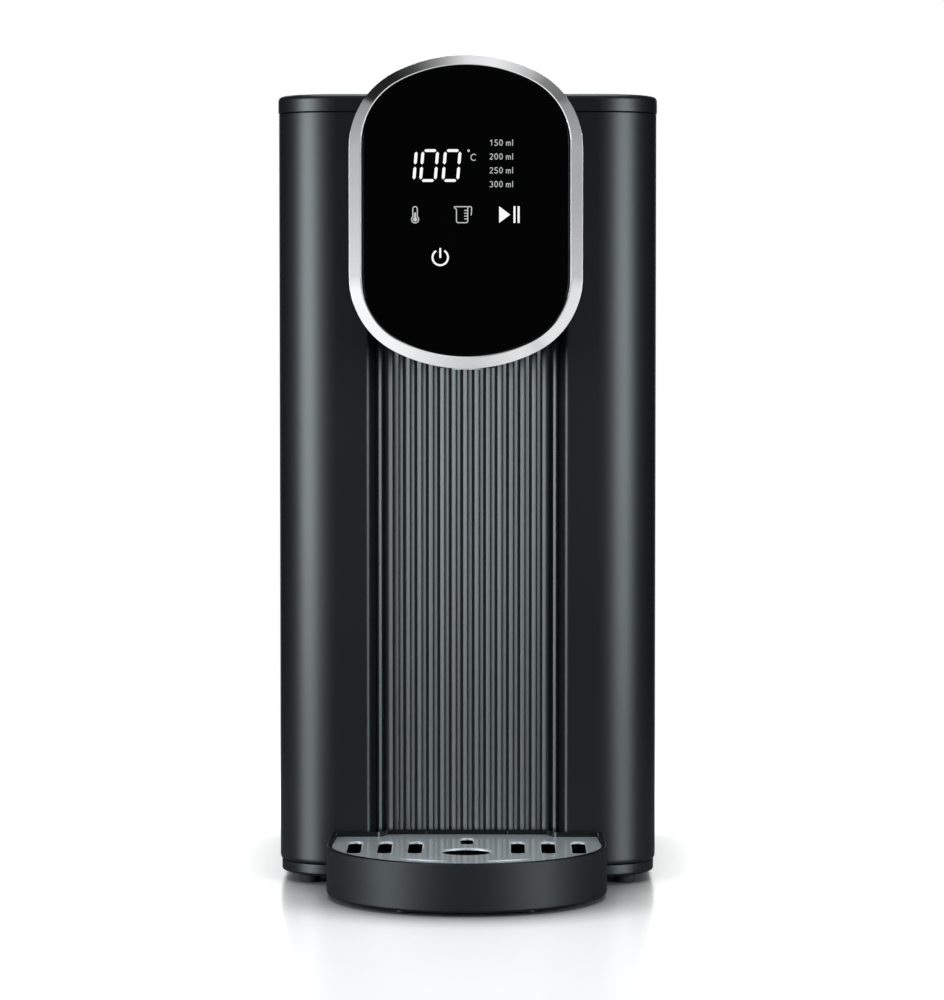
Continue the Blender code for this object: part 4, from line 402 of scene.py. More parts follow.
def placed(name, data):
    """A new object of the scene that shows this mesh, lamp or camera."""
    made = bpy.data.objects.new(name, data)
    bpy.context.scene.collection.objects.link(made)
    return made


def combined(mesh, joined, cut):
    """The mesh with other meshes joined to it and then cut out of it."""
    target = placed(mesh.name, mesh)
    tools = []
    for operation, parts in (("UNION", joined), ("DIFFERENCE", cut)):
        for part in parts:
            tools.append(placed(part.name, part))
            step = target.modifiers.new(part.name, "BOOLEAN")
            step.operation = operation
            step.object = tools[-1]
            step.solver = "EXACT"
    bpy.context.view_layer.update()
    graph = bpy.context.evaluated_depsgraph_get()
    made = bpy.data.meshes.new_from_object(target.evaluated_get(graph))
    for thing in [target] + tools:
        bpy.data.objects.remove(thing, do_unlink=True)
    return made


# The record's material slot that each finish belongs to
SLOTS = {
    **dict.fromkeys(("body", "tray", "panel"), "matte_black"),
    **dict.fromkeys(("mark", "dim_mark", "white"), "white_plastic"),
    **dict.fromkeys(("spring", "screw"), "spring_steel"),
    "glass": "gloss_black",
    "bezel": "polished_steel",
    "grid": "satin_steel",
    "tank": "smoked_clear",
    "rubber": "rubber",
    "silicone": "silicone",
    "grey": "grey_plastic",
}


def piece(name, mesh, finish, node=None, body="housing", joined=(), cut=(), bevel=0.0, sharp=35):
    """A finished piece that rides on a body and stands for a node, shaded smooth up to the sharp angle."""
    if joined or cut:
        mesh = combined(mesh, joined, cut)
    mesh.materials.clear()
    mesh.materials.append(MATERIALS[finish])
    made = placed(name, mesh)
    mesh.shade_smooth()
    mesh.set_sharp_from_angle(angle=math.radians(sharp))
    if bevel:
        step = made.modifiers.new("Edges", "BEVEL")
        step.width = bevel
        step.segments = 2
        step.limit_method = "ANGLE"
        step.angle_limit = math.radians(sharp)
        step.use_clamp_overlap = True
    made.modifiers.new("Normals", "WEIGHTED_NORMAL").keep_sharp = True
    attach(made, body)
    if node:
        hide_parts(node)
    return made


def lathed(name, profile, place, finish, node, body="housing", axis="Z"):
    """A ring turned from one profile, as a piece."""
    piece(name, turned(name, profile, place, axis, ring=True), finish, node, body)


# Shader maths


def plug(tree, value, place):
    """Links a value to a socket, or sets a plain number or colour on it."""
    if isinstance(value, Value):
        tree.links.new(value.socket, place)
    elif isinstance(value, (tuple, list)) and len(value) == 3 and place.type == "RGBA":
        place.default_value = (*value, 1.0)
    else:
        place.default_value = value


def maths(operation, reflected=False):
    """A method for one of Python's operators, as a Math node; the reflected one swaps its two values."""

    def method(self, other):
        """A Math node of this value and another value or number."""
        return self.math(operation, *((other, self) if reflected else (self, other)))

    return method


class Value:
    """One output of a node; Python's operators on it add Math nodes."""

    def __init__(self, tree, socket):
        self.tree = tree
        self.socket = socket

    def math(self, operation, *values):
        """A Math node over these values, as a new value."""
        node = self.tree.nodes.new("ShaderNodeMath")
        node.operation = operation
        for place, value in zip(node.inputs, values):
            plug(self.tree, value, place)
        return Value(self.tree, node.outputs[0])

    def __neg__(self):
        return self * -1.0

    __add__ = __radd__ = maths("ADD")
    __mul__ = __rmul__ = maths("MULTIPLY")
    __sub__, __rsub__ = maths("SUBTRACT"), maths("SUBTRACT", True)
    __truediv__, __rtruediv__ = maths("DIVIDE"), maths("DIVIDE", True)
    __pow__, __rpow__ = maths("POWER"), maths("POWER", True)


class Nodes:
    """A node tree that is written as expressions."""

    def __init__(self, tree):
        self.tree = tree

    def add(self, kind, settings=None, inputs=None, output=0):
        """A node of this type: its settings first, then its sockets; the chosen output as a value."""
        node = self.tree.nodes.new("ShaderNode" + kind)
        for key, value in (settings or {}).items():
            if key == "stops":
                ramp = node.color_ramp
                while len(ramp.elements) < len(value):
                    ramp.elements.new(1.0)
                for element, (place, level) in zip(ramp.elements, value):
                    element.position = place
                    element.color = (level, level, level, 1.0)
            else:
                setattr(node, key, value)
        for key, value in (inputs or {}).items():
            plug(self.tree, value, node.inputs[key])
        return Value(self.tree, node.outputs[output]) if node.outputs else None

    def feed(self, **values):
        """Links or sets sockets of the material's Principled shader, by their names in small letters."""
        shader = self.tree.nodes["Principled BSDF"]
        for key, value in values.items():
            plug(self.tree, value, shader.inputs[key.replace("_", " ").title().replace("Ior", "IOR")])

    def place(self, stretch=(1, 1, 1)):
        """Object coordinates, stretched."""
        where = self.add("TexCoord", output="Object")
        return self.add("Mapping", inputs={"Vector": where, "Scale": stretch})

    def noise(self, scale, detail=2.0, where=None):
        """Noise from 0 to 1 with this many features per metre."""
        inputs = {"Vector": where or self.place(), "Scale": scale, "Detail": detail}
        return self.add("TexNoise", inputs=inputs, output="Fac")

    def step(self, value, low, high):
        """0 below low, 1 above high and smooth between."""
        inputs = {"Value": value, "From Min": low, "From Max": high}
        return self.add("MapRange", {"interpolation_type": "SMOOTHSTEP"}, inputs, output="Result")

    def mix(self, factor, first, second):
        """A mix of two colours."""
        return self.add("Mix", {"data_type": "RGBA"}, {0: factor, 6: first, 7: second}, output=2)

    def bump(self, height, depth):
        """A normal from a height of 0 to 1 over this depth in metres."""
        inputs = {"Height": height, "Distance": depth, "Strength": 1.0}
        return self.add("Bump", inputs=inputs, output="Normal")


def surface(name, **settings):
    """A new material with these settings on its shader, and its nodes."""
    material = bpy.data.materials.new(name)
    material.use_nodes = True
    nodes = Nodes(material.node_tree)
    nodes.feed(**settings)
    return material, nodes


def scaled(base, factor):
    """A colour made darker or lighter by a factor."""
    return tuple(min(1.0, channel * factor) for channel in base)


def moulded(name, base, roughness, grain=2600.0, depth=0.000012, streaks=0.0, rubbed=None, **settings):
    """Moulded plastic: fine grain as bump, slow drift in colour and gloss, and upright streaks in the gloss.
    Above a height, if one is given, hands have rubbed it smooth."""
    material, nodes = surface(name, **settings)
    slow, fine = nodes.noise(14.0, 3.0), nodes.noise(grain)
    drift = 0.14
    tint = nodes.mix(slow, scaled(base, 1 - drift), scaled(base, 1 + drift))
    gloss = roughness - 0.03 + slow * 0.04 + fine * 0.02
    if streaks:
        gloss += (nodes.noise(1.0, where=nodes.place((1400, 2, 0.5))) - 0.5) * streaks
    if rubbed:
        height = nodes.add("SeparateXYZ", inputs={"Vector": nodes.place()}, output="Z")
        gloss -= nodes.step(height, rubbed, rubbed + 0.0005) * 0.30
    nodes.feed(base_color=tint, roughness=gloss, normal=nodes.bump(fine, depth))
    return material


def brushed(name, base, roughness, stretch, depth=0.000004, streak=0.05, metallic=1.0, **settings):
    """Metal with fine streaks: noise drawn out along one axis varies gloss and height."""
    material, nodes = surface(name, metallic=metallic, **settings)
    streaks = nodes.noise(1.0, 3.0, nodes.place(stretch))
    cloud = nodes.noise(35.0)
    tint = nodes.mix(cloud, scaled(base, 0.96), scaled(base, 1.03))
    gloss = roughness - streak / 2 + streaks * streak + cloud * 0.02
    nodes.feed(base_color=tint, roughness=gloss, normal=nodes.bump(streaks, depth))
    return material


def circuit_board(name):
    """Green lacquer over copper: a fine grid of traces, and lighter pads where a noise is high."""
    material, nodes = surface(name, roughness=0.35)
    inputs = {"Vector": nodes.place(), "Scale": 420.0, "Mortar Size": 0.09}
    inputs.update({"Brick Width": 0.9, "Row Height": 0.35})
    traces = nodes.add("TexBrick", {"offset": 0.5}, inputs, output="Fac")
    pads = nodes.step(nodes.noise(900.0, 1.0), 0.62, 0.66)
    green = nodes.mix(traces, (0.012, 0.075, 0.028), (0.03, 0.16, 0.06))
    tint = nodes.mix(pads, green, (0.45, 0.36, 0.16))
    nodes.feed(base_color=tint, normal=nodes.bump(traces + pads, 0.00003))
    return material


def lit(name, ink):
    """A lit mark: it shines in its own colour, a little unevenly, as light through a mask does."""
    material, nodes = surface(name, roughness=0.5, base_color=(0.0, 0.0, 0.0), emission_strength=1.0)
    nodes.feed(emission_color=nodes.mix(nodes.noise(700.0), scaled(ink, 0.94), scaled(ink, 1)))
    return material


def smoked(name, base):
    """Smoked clear plastic: see-through, glossy, with faint clouding and scratches."""
    material, nodes = surface(name)
    cloud = nodes.noise(22.0, 3.0)
    scratches = nodes.noise(1.0, where=nodes.place((2500, 2500, 120)))
    tint = nodes.mix(cloud, scaled(base, 0.85), scaled(base, 1.2))
    nodes.feed(base_color=tint, roughness=0.07 + scratches * 0.06, alpha=0.36 + cloud * 0.12)
    nodes.feed(normal=nodes.bump(scratches, 0.000003))
    return material


def glass_black(name, base):
    """Black glass: very smooth, with faint smears that show only in its gloss."""
    material, nodes = surface(name)
    smear = nodes.noise(28.0, 4.0)
    tint = nodes.mix(smear, scaled(base, 1), scaled(base, 1.6))
    nodes.feed(base_color=tint, roughness=0.035 + nodes.step(smear, 0.45, 0.75) * 0.03)
    return material


MATERIALS = {}


class DispenserOperator:
    """What all the operators share: they run from the panel and can be undone."""

    bl_options = {"REGISTER", "UNDO"}


class DISPENSER_OT_materials(DispenserOperator, bpy.types.Operator):
    """Makes the finishes that the pieces take"""

    bl_idname = "dispenser.materials"
    bl_label = "Finishes"

    def execute(self, context):
        base = context.scene.dispenser_finishes
        rim = {"rubbed": GRID_TOP - 0.0001, "specular_ior_level": 0.48}
        ribs = {"grain": 3200.0, "streaks": 0.30, "specular_ior_level": 0.40}
        lacquer = {"metallic": 0.55, "coat_weight": 0.7, "coat_roughness": 0.06}
        even = (900, 900, 900)
        MATERIALS.update(
            body=moulded("satin black", base.body, 0.40),
            tray=moulded("matt black", base.tray, 0.54, **rim),
            panel=moulded("satin ribs", base.panel, 0.34, **ribs),
            glass=glass_black("black glass", base.glass),
            bezel=brushed("polished ring", base.bezel, 0.065, (300, 300, 300), depth=0.0000005, streak=0.02),
            grid=brushed("satin steel", base.grid, 0.46, (60, 2600, 2600), **lacquer),
            tank=smoked("smoked clear", base.tank),
            mark=lit("lit mark", base.mark),
            dim_mark=lit("dim mark", base.dim_mark),
            rubber=moulded("rubber", (0.012, 0.012, 0.012), 0.78, grain=1500.0, depth=0.00003),
            silicone=moulded("silicone", (0.62, 0.62, 0.60), 0.52, grain=900.0, depth=0.00001),
            white=moulded("white plastic", (0.66, 0.66, 0.64), 0.42),
            grey=moulded("grey plastic", (0.13, 0.135, 0.14), 0.48),
            aluminium=brushed("aluminium", (0.56, 0.57, 0.58), 0.34, (1800, 1800, 60)),
            spring=brushed("spring steel", (0.36, 0.36, 0.37), 0.28, even),
            screw=brushed("blackened steel", (0.035, 0.035, 0.037), 0.50, even, metallic=0.8),
            board=circuit_board("circuit board"),
        )
        return {"FINISHED"}


# Shapes that several pieces share


def body_corners(sizes, rear):
    """The body's plan, with the channel, from the rear left corner round the front to the rear right one."""
    mouth = sizes.channel_half_width
    floor = mouth - sizes.channel_taper
    depth = FRONT + sizes.channel_depth
    left = [(-HALF_WIDTH, rear), (-HALF_WIDTH, FRONT), (-mouth, FRONT), (-floor, depth)]
    return np.array(left + [(-x, y) for x, y in left[::-1]])


def body_radii(sizes, end):
    """The rounds of those corners; the two end corners get the given one."""
    half = [end, sizes.corner_radius, sizes.channel_edge, 3 * TINY_ROUND]
    return np.array(half + half[::-1])


def moulding(name, corners, radii, profile):
    """A closed plan carried along a profile of (inset, height), and drawn in by the inset at each row."""
    return skin(name, [flat(shrunk(corners, radii, distance, CORNER_STEPS), z) for distance, z in profile])


def cup(start, outer, inner, base, rim, floor, radii, steps=5):
    """The profile of an open shell from its base out to its wall, over the rim and back along its floor."""
    corners = [(start, base), (outer, base), (outer, rim), (inner, rim), (inner, floor), (start, floor)]
    return rounded(corners, [0, *radii, 0], steps, closed=False)


def head_outline(sizes, distance):
    """Across and height of the head, drawn in by a distance: a circle cut off by two upright lines, with a
    fillet where they meet. The round stretches draw in a little less than the sides do."""
    kept = min(distance, sizes.bezel_face)
    radius = sizes.radius - distance + 0.10 * kept
    half = sizes.half_width - distance
    fillet = sizes.fillet - distance
    height = math.sqrt((radius - fillet) ** 2 - (half - fillet) ** 2)
    lean = math.degrees(math.atan2(height, half - fillet))
    fillet_steps, crown_steps = 14, 48
    quarter = arc((half - fillet, height), fillet, 0, lean, fillet_steps)
    crown = arc((0, 0), radius, lean, 180 - lean, crown_steps)[1:-1]
    upper = np.concatenate([quarter, crown, quarter[::-1] * (-1, 1)])
    rise = sizes.bezel_rise * kept / sizes.bezel_face
    return np.concatenate([upper, -upper]) + (0, HEAD_CENTRE + rise)


def tray_plan(sizes, distance):
    """Straight sides into a half-round front; the rear edge steps into the channel. Drawn in by a distance,
    the sharp plan moves first and is rounded after, so that no corner folds over."""
    middle = FRONT - sizes.reach + sizes.radius
    rear = FRONT - TRAY_GAP
    side = sizes.radius - sizes.taper
    step, lean = sizes.step_half_width, 0.0027
    right = [(sizes.radius, middle), (side, rear), (step, rear), (step - lean, FRONT + sizes.step_depth)]
    back = np.array(right + [(-x, y) for x, y in right[::-1]])
    front = arc((0, middle), sizes.radius, 180, 360, 96)[1:-1]
    sharp = inset(np.concatenate([back, front]), distance)
    radii = np.maximum([0, 0.0016 - distance, 0.0008 + distance, 0.0008 - distance], TINY_ROUND)
    back = rounded(sharp[: len(back)], np.concatenate([radii, radii[::-1]]), 5, closed=False)
    return np.concatenate([back, sharp[len(sharp) - len(front) :]])


def stacked(bottom, parts, edge=TINY_ROUND, steps=4):
    """The profile of cylinders that stand on each other, each as (radius, top), with rounded edges."""
    profile = [(0, bottom)]
    for radius, top in parts:
        profile += [(radius, profile[-1][1]), (radius, top)]
    return rounded(profile + [(0, top)], edge, steps, closed=False)


def rod(radius, bottom, top, edge=TINY_ROUND):
    """The profile of a solid cylinder with rounded edges."""
    return stacked(bottom, [(radius, top)], edge)


def sleeve(outer, inner, bottom, top, edge=TINY_ROUND):
    """The profile of a bored cylinder with rounded edges."""
    return rounded([(outer, bottom), (outer, top), (inner, top), (inner, bottom)], edge, 4)


def bosses(end):
    """The bored bosses that take the two base screws at this end of the body."""
    profile = sleeve(BOSS_RADIUS, SCREW_BORE, HOUSING_FLOOR + GAP, HOUSING_FLOOR + BOSS_HEIGHT)
    places = [under(centre(f"base_screw_{end}_{side}")) for side in ("left", "right")]
    return [turned("boss", profile, place, steps=32, ring=True) for place in places]


def along_hinge(name, radius, middle, half):
    """A rod on the lid's hinge axis, half its length to each side of its middle."""
    return turned(name, rod(radius, middle - half, middle + half), (0, HINGE[Y], HINGE[Z]), "X", 32)


class DISPENSER_OT_base(DispenserOperator, bpy.types.Operator):
    """Makes the plinth, its screws and the four rubber feet"""

    bl_idname = "dispenser.base"
    bl_label = "Base"

    def execute(self, context):
        sizes = context.scene.dispenser_body
        channel_round = 0.003
        radii = body_radii(sizes, sizes.corner_radius)
        radii[2:6] = channel_round
        outer = sizes.plinth_inset
        inner = outer + sizes.plinth_wall
        edges = [sizes.plinth_edge, EDGE_ROUND, EDGE_ROUND, EDGE_ROUND]
        floor = PLINTH_FLOOR + sizes.plinth_wall
        profile = cup(inner + 0.004, outer, inner, PLINTH_FLOOR, PLINTH_TOP, floor, edges)
        mesh = moulding("plinth_shell", body_corners(sizes, TANK_REAR), radii, profile)
        hole = rod(SCREW_BORE, PLINTH_FLOOR - OVERRUN, PLINTH_TOP)
        holes = []
        for name in ("front_left", "front_right", "rear_left", "rear_right"):
            place = centre("base_screw_" + name)
            holes.append(turned("hole_" + name, hole, under(place), steps=24))
            self.screw("base_screw_" + name, place)
        piece("plinth_shell", mesh, "body", "base_plinth", cut=holes)
        for node in LOW:
            if node.startswith("foot_"):
                self.foot(node)
        return {"FINISHED"}

    def foot(self, node):
        """A round pad that widens a little from the ground up."""
        radius, top = (HIGH[node][X] - LOW[node][X]) / 2, HIGH[node][Z]
        profile = rounded([(0, 0), (radius - 0.0006, 0), (radius, top), (0, top)], 0.0005, 5, closed=False)
        piece(node + "_pad", turned(node + "_pad", profile, under(centre(node))), "rubber", node)

    def screw(self, node, place):
        """A pan head with a cross recess over a threaded shank: r + t (1 + cos 2 pi h / pitch)."""
        low, high = span(node)
        shank, thread, pitch, head_radius = 0.0013, 0.0001, 0.0007, 0.0030
        head_top = PLINTH_FLOOR - GAP
        turns = np.linspace(head_top + 0.0004, high - 0.0008, 160)
        wave = shank + thread * (1 + np.cos(2 * math.pi * turns / pitch))
        head = [(0, low), (head_radius, low), (head_radius, head_top), (shank + thread, head_top)]
        head = rounded(head, 0.0003, 4, closed=False)
        profile = np.concatenate([head, np.column_stack([wave, turns]), [(0.0006, high), (0, high)]])
        long, narrow, depth = 0.0018, 0.0004, 0.0009
        bars = [box_plan(place[X], place[Y], *half) for half in ((long, narrow), (narrow, long))]
        recess = [prism("recess", bar, low - OVERRUN, low + depth) for bar in bars]
        piece(node + "_steel", turned(node, profile, under(place), steps=24), "screw", node, cut=recess)


class DISPENSER_OT_housing(DispenserOperator, bpy.types.Operator):
    """Makes the front housing with its round corners and the channel down its front"""

    bl_idname = "dispenser.housing"
    bl_label = "Front Housing"

    def execute(self, context):
        mesh = self.shell(context.scene.dispenser_body)
        slot_half_width, slot_floor, slot_top = 0.0054, 0.0125, 0.0163
        cut = [self.opening("passage", 0, PASSAGE_HALF_WIDTH, PASSAGE_FLOOR, PASSAGE_TOP)]
        for hand in SIDES:
            cut.append(self.opening("hook_slot", hand * HOOK_PLACE, slot_half_width, slot_floor, slot_top))
        piece("housing_shell", mesh, "body", "front_housing", joined=bosses("front"), cut=cut)
        return {"FINISHED"}

    def opening(self, name, across, half, low, high):
        """A block that cuts through the front wall."""
        outline = rectangle(across - half, across + half, FRONT - OVERRUN, FRONT + 0.0034)
        return prism(name, outline, low, high)

    def shell(self, sizes):
        """Outer and inner plan as one ring, carried up; above the channel its depth fades to nothing as
        1 - smooth step of the height."""
        corners = body_corners(sizes, HOUSING_REAR)
        radii = body_radii(sizes, 0)
        fade_top = sizes.channel_top + sizes.channel_depth
        hem = arc((0, 0), 1.0, -90, 0, 6)
        levels = [(HOUSING_FLOOR + sizes.hem_height * (1 + s), sizes.hem * (1 - c)) for c, s in hem]
        levels += [(z, 0.0) for z in np.linspace(sizes.channel_top, fade_top, 13)]
        levels += [(HOUSING_TOP - EDGE_ROUND, 0.0), (HOUSING_TOP, EDGE_ROUND)]
        rows = []
        for z, drawn_in in levels:
            kept = 1 - smooth(z, sizes.channel_top, fade_top)
            outer, inner = (
                self.faded(shrunk(corners, radii, distance, 16, closed=False), kept)
                for distance in (drawn_in, sizes.wall)
            )
            rows.append(flat(np.concatenate([outer, inner[::-1]]), z))
        return skin("housing_shell", rows, strips=True)

    def faded(self, outline, kept):
        """The channel's points drawn back to the plane of the front."""
        middle = np.abs(outline[:, 0]) < HALF_WIDTH / 2 + 0.008
        plane = outline[middle, 1].min()
        outline[middle, 1] = plane + (outline[middle, 1] - plane) * kept
        return outline


class DISPENSER_OT_splash_panel(DispenserOperator, bpy.types.Operator):
    """Makes the ribbed panel behind the cup"""

    bl_idname = "dispenser.splash_panel"
    bl_label = "Splash Panel"

    broad_slopes = (0.62, 0.42)
    narrow_slopes = (-0.24, -0.60)
    groove_slope = 2.2

    def execute(self, context):
        sizes = context.scene.dispenser_panel
        back, edge = HIGH["splash_panel"][Y], HIGH["splash_panel"][X]
        face = back - sizes.plate
        line, slope = sizes.line_width, self.groove_slope
        broad = (sizes.stripe, *self.broad_slopes)
        narrow = (sizes.rib_width - sizes.stripe - line, *self.narrow_slopes)
        groove = [(line / 2, -slope, -slope), (line / 2, slope, slope)]
        full = self.section(sizes.rib_height, [broad] + groove + [narrow])
        border = self.section(sizes.rib_height, [broad, (sizes.border_width - sizes.stripe, 0, 0)])
        half_bead = sizes.bead_width / 2
        bead = self.section(sizes.rib_height, [(half_bead, 0.62, 0.50), (half_bead, -0.50, -0.62)])
        ridge_half, ridge_height = 0.0002, 0.0004
        ridge = np.array([(-ridge_half, 0.0), (0.0, ridge_height), (ridge_half, 0.0)])
        ridge_place = (sizes.bead_place + sizes.border_place) / 2 + 0.0002
        mirror = (-1, 1)
        row = [(bead + (sizes.bead_place, 0))[::-1] * mirror, ridge - (ridge_place, 0)]
        row += [(border + (sizes.border_place, 0))[::-1] * mirror]
        row += [full + (i * sizes.pitch, 0) for i in range(-sizes.ribs_each_side, sizes.ribs_each_side + 1)]
        row += [border + (sizes.border_place, 0), ridge + (ridge_place, 0), bead + (sizes.bead_place, 0)]
        relief = np.concatenate(row) * (1, -1) + (0, face)
        outline = np.concatenate([[(-edge, back), (-edge, face)], relief, [(edge, face), (edge, back)]])
        mesh = skin("splash_panel_ribs", [flat(outline, z) for z in np.linspace(*span("splash_panel"), 3)])
        piece("splash_panel_ribs", mesh, "panel", "splash_panel", sharp=28)
        return {"FINISHED"}

    def section(self, top, runs):
        """A rib's section, centred across: wall, runs, wall. A run is its width w and its slopes s and e at
        both ends, so it climbs by s t + (e - s) t^2 / (2 w); the highest point stands at the top."""
        across, height = [0.0], [0.0]
        for width, start, end in runs:
            t = np.linspace(0, width, 5)[1:]
            height += (height[-1] + start * t + (end - start) * t**2 / (2 * width)).tolist()
            across += (across[-1] + t).tolist()
        across = np.array(across) - across[-1] / 2
        height = np.array(height) + top - max(height)
        wall = 0.00004
        first, last = (across[0] - wall, 0.0), (across[-1] + wall, 0.0)
        return np.concatenate([[first], np.column_stack([across, height]), [last]])


class DISPENSER_OT_covers(DispenserOperator, bpy.types.Operator):
    """Makes the top cover and the tank's lid with its hinge knuckles"""

    bl_idname = "dispenser.covers"
    bl_label = "Covers"

    def execute(self, context):
        sizes = context.scene.dispenser_body
        cover_rear, lid_front = 0.0069, 0.0063
        rounds = (sizes.corner_radius + sizes.cover_overhang, cover_rear)
        mesh = self.cover(sizes, "top_cover", *span("top_cover", Y), rounds, sizes.wall)
        piece("top_cover_shell", mesh, "body", "top_cover")
        rounds = (lid_front, sizes.corner_radius)
        mesh = self.cover(sizes, "tank_lid", TANK_FRONT, TANK_REAR, rounds, TANK_WALL)
        middles = [hand * abs(HINGE[X]) for hand in SIDES]
        knuckles = [self.knuckle(middle) for middle in middles]
        bores = [along_hinge("knuckle_bore", HINGE_BORE, middle, 0.008) for middle in middles]
        piece("tank_lid_shell", mesh, "body", "tank_lid", "lid", knuckles, bores)
        return {"FINISHED"}

    def cover(self, sizes, node, front, rear, rounds, wall):
        """A shallow lid: rounded top edge, skirt, and a lip that drops inside the wall below. The rounds are
        those of its front and rear corners."""
        foot, ceiling, edge = COVER_FLOOR - sizes.lip_depth, BODY_TOP - wall, sizes.cover_edge
        skirt = sizes.cover_overhang + wall + GAP
        lip = skirt + sizes.lip_thickness
        profile = [(lip + 0.001, ceiling), (lip, ceiling), (lip, foot), (skirt, foot), (skirt, COVER_FLOOR)]
        profile += [(0, COVER_FLOOR), (0, BODY_TOP), (edge + 0.001, BODY_TOP)]
        radii = [0] + [EDGE_ROUND] * 3 + [TINY_ROUND] * 2 + [edge, 0]
        profile = rounded(profile, radii, 8, closed=False)
        return moulding(node, rectangle(*span(node, X), front, rear), np.repeat(rounds, 2), profile)

    def knuckle(self, middle):
        """A hinge knuckle: round about the hinge's axis, and square where it meets the lid."""
        near, foot = TANK_REAR - 0.0015, HINGE[Z] + GAP
        outline = arc(HINGE[1:], HINGE_ROUND, 90, -180, 24)
        corners = [(HINGE[Y] - HINGE_ROUND, foot), (near, foot), (near, HINGE[Z] + HINGE_ROUND)]
        return prism("knuckle", np.concatenate([outline, corners]), middle - 0.006, middle + 0.006, sideways)


class DISPENSER_OT_head(DispenserOperator, bpy.types.Operator):
    """Makes the hood of the head, its metal ring and the black glass"""

    bl_idname = "dispenser.head"
    bl_label = "Head"

    def execute(self, context):
        sizes = context.scene.dispenser_head
        self.hood(sizes)
        self.ring(sizes)
        self.glass(sizes)
        return {"FINISHED"}

    def hood(self, sizes):
        """Rows of the head's outline from rear to front and back inside; behind the fairing's start the
        part above the body's top is scaled by (1 + cos) / 2 of the way back."""
        front, rear = span("head_housing", Y)
        steps = rear - sizes.fairing * np.linspace(0, 1, 16)
        inner_rear = rear - 0.003

        def row(y, distance, crown):
            back = max(0.0, (y - rear + sizes.fairing) / sizes.fairing)
            kept = max(0.05, (1 + math.cos(back * math.pi)) / 2)
            outline = head_outline(sizes, distance)
            outline[:, 1] += np.maximum(0, outline[:, 1] - crown) * (kept - 1)
            return upright(outline, y)

        places = [steps[0] - EDGE_ROUND, *steps[1:], front]
        outside = [row(steps[0], EDGE_ROUND, BODY_TOP)] + [row(y, 0.0, BODY_TOP) for y in places]
        places = [front, *[y for y in steps[::-1] if y < inner_rear], inner_rear]
        inside = [row(y, sizes.wall, BODY_TOP - sizes.wall) for y in places]
        mesh = skin("head_hood", outside + inside)
        window = rectangle(-PASSAGE_HALF_WIDTH, PASSAGE_HALF_WIDTH, PASSAGE_FLOOR, PASSAGE_TOP)
        passage = prism("passage", window, inner_rear - OVERRUN, rear + OVERRUN, upright)
        top, boss_radius = LOW["spout_seal"][Z] - GAP, 0.0125
        boss = turned("boss", rod(boss_radius, HEAD_FLOOR + 0.001, top), SPOUT)
        hole = turned("hole", rod(SPOUT_BORE, HEAD_FLOOR - OVERRUN, top + OVERRUN), SPOUT)
        piece("head_hood", mesh, "body", "head_housing", joined=[boss], cut=[passage, hole])

    def ring(self, sizes):
        """The ring's section carried round the head's outline: the face slopes back to its outer edge."""
        back, ledge = HIGH["head_bezel"][Y], GLASS_FAR + GAP
        face, chamfer, drop = sizes.bezel_face, 0.0005, 0.00015
        inner = face + 0.0022
        crisp, crisper = 0.00006, 0.00002
        section = [(0, back), (0, HEAD_FACE + sizes.bezel_slant), (face - chamfer, HEAD_FACE)]
        section += [(face, HEAD_FACE + drop), (face, ledge), (inner, ledge), (inner, back)]
        section = rounded(section, [EDGE_ROUND, crisp, crisper, crisp] + [EDGE_ROUND] * 3, 4)
        rows = [upright(head_outline(sizes, distance), y) for distance, y in section]
        piece("bezel_ring", skin("bezel_ring", rows, loop=True), "bezel", "head_bezel", sharp=20)

    def glass(self, sizes):
        """The head's outline carried along the pane's edge, with a chamfer at its front."""
        edge, chamfer = sizes.bezel_face + sizes.glass_gap, 0.0004
        profile = [(edge + 0.001, GLASS_NEAR), (edge + chamfer, GLASS_NEAR), (edge, GLASS_NEAR + chamfer)]
        profile += [(edge, GLASS_FAR), (edge + 0.001, GLASS_FAR)]
        profile = rounded(profile, [0, 0.0001, 0.0001, TINY_ROUND, 0], 3, closed=False)
        rows = [upright(head_outline(sizes, distance), y) for distance, y in profile]
        piece("glass_face", skin("glass_face", rows), "glass", "touch_glass")


# Marks on the glass


def patch(outline):
    """A flat mark: an outline of across and height with a little depth."""
    return rings([upright(outline, MARK_NEAR), upright(outline, MARK_FAR)])


def stroke(path, width, loop=False):
    """A drawn line: the path moved half the width to both sides, with a little depth."""
    left, right = (inset(path, side * width / 2, closed=loop) for side in (1, -1))
    sides = [(left, MARK_NEAR), (right, MARK_NEAR), (right, MARK_FAR), (left, MARK_FAR)]
    return rings(np.stack([upright(*side) for side in sides], axis=1), loop)


DIGIT_HEIGHT = 0.0139
DIGIT_SLANT = 0.085
STANDING_BAR, LYING_BAR, BAR_GAP = 0.00126, 0.00118, 0.0010


def bar(middle, reach, width, standing):
    """One lit bar of a digit: a hexagon, leaning by the slant."""
    along, across = reach / 2, width / 2
    points = np.array([(-along, 0), (across - along, -across), (along - across, -across)])
    points = np.concatenate([points, -points])
    if standing:
        points = points[:, ::-1] * (-1, 1)
    points = points + middle
    points[:, 0] += DIGIT_SLANT * points[:, 1]
    return points


def digit(code, width, place):
    """A seven-segment digit about its place: the code names its lit bars from a, the top one, to f."""
    x, z = (width - STANDING_BAR) / 2, (DIGIT_HEIGHT - LYING_BAR) / 4
    long, wide = 2 * z - BAR_GAP, width - STANDING_BAR - BAR_GAP
    middles = {"a": (0, 2 * z), "b": (x, z), "c": (x, -z), "d": (0, -2 * z), "e": (-x, -z), "f": (-x, z)}
    lying = (wide, LYING_BAR, False)
    standing = (long, STANDING_BAR, True)
    return [bar(middles[name], *(lying if name in "ad" else standing)) + place for name in code]


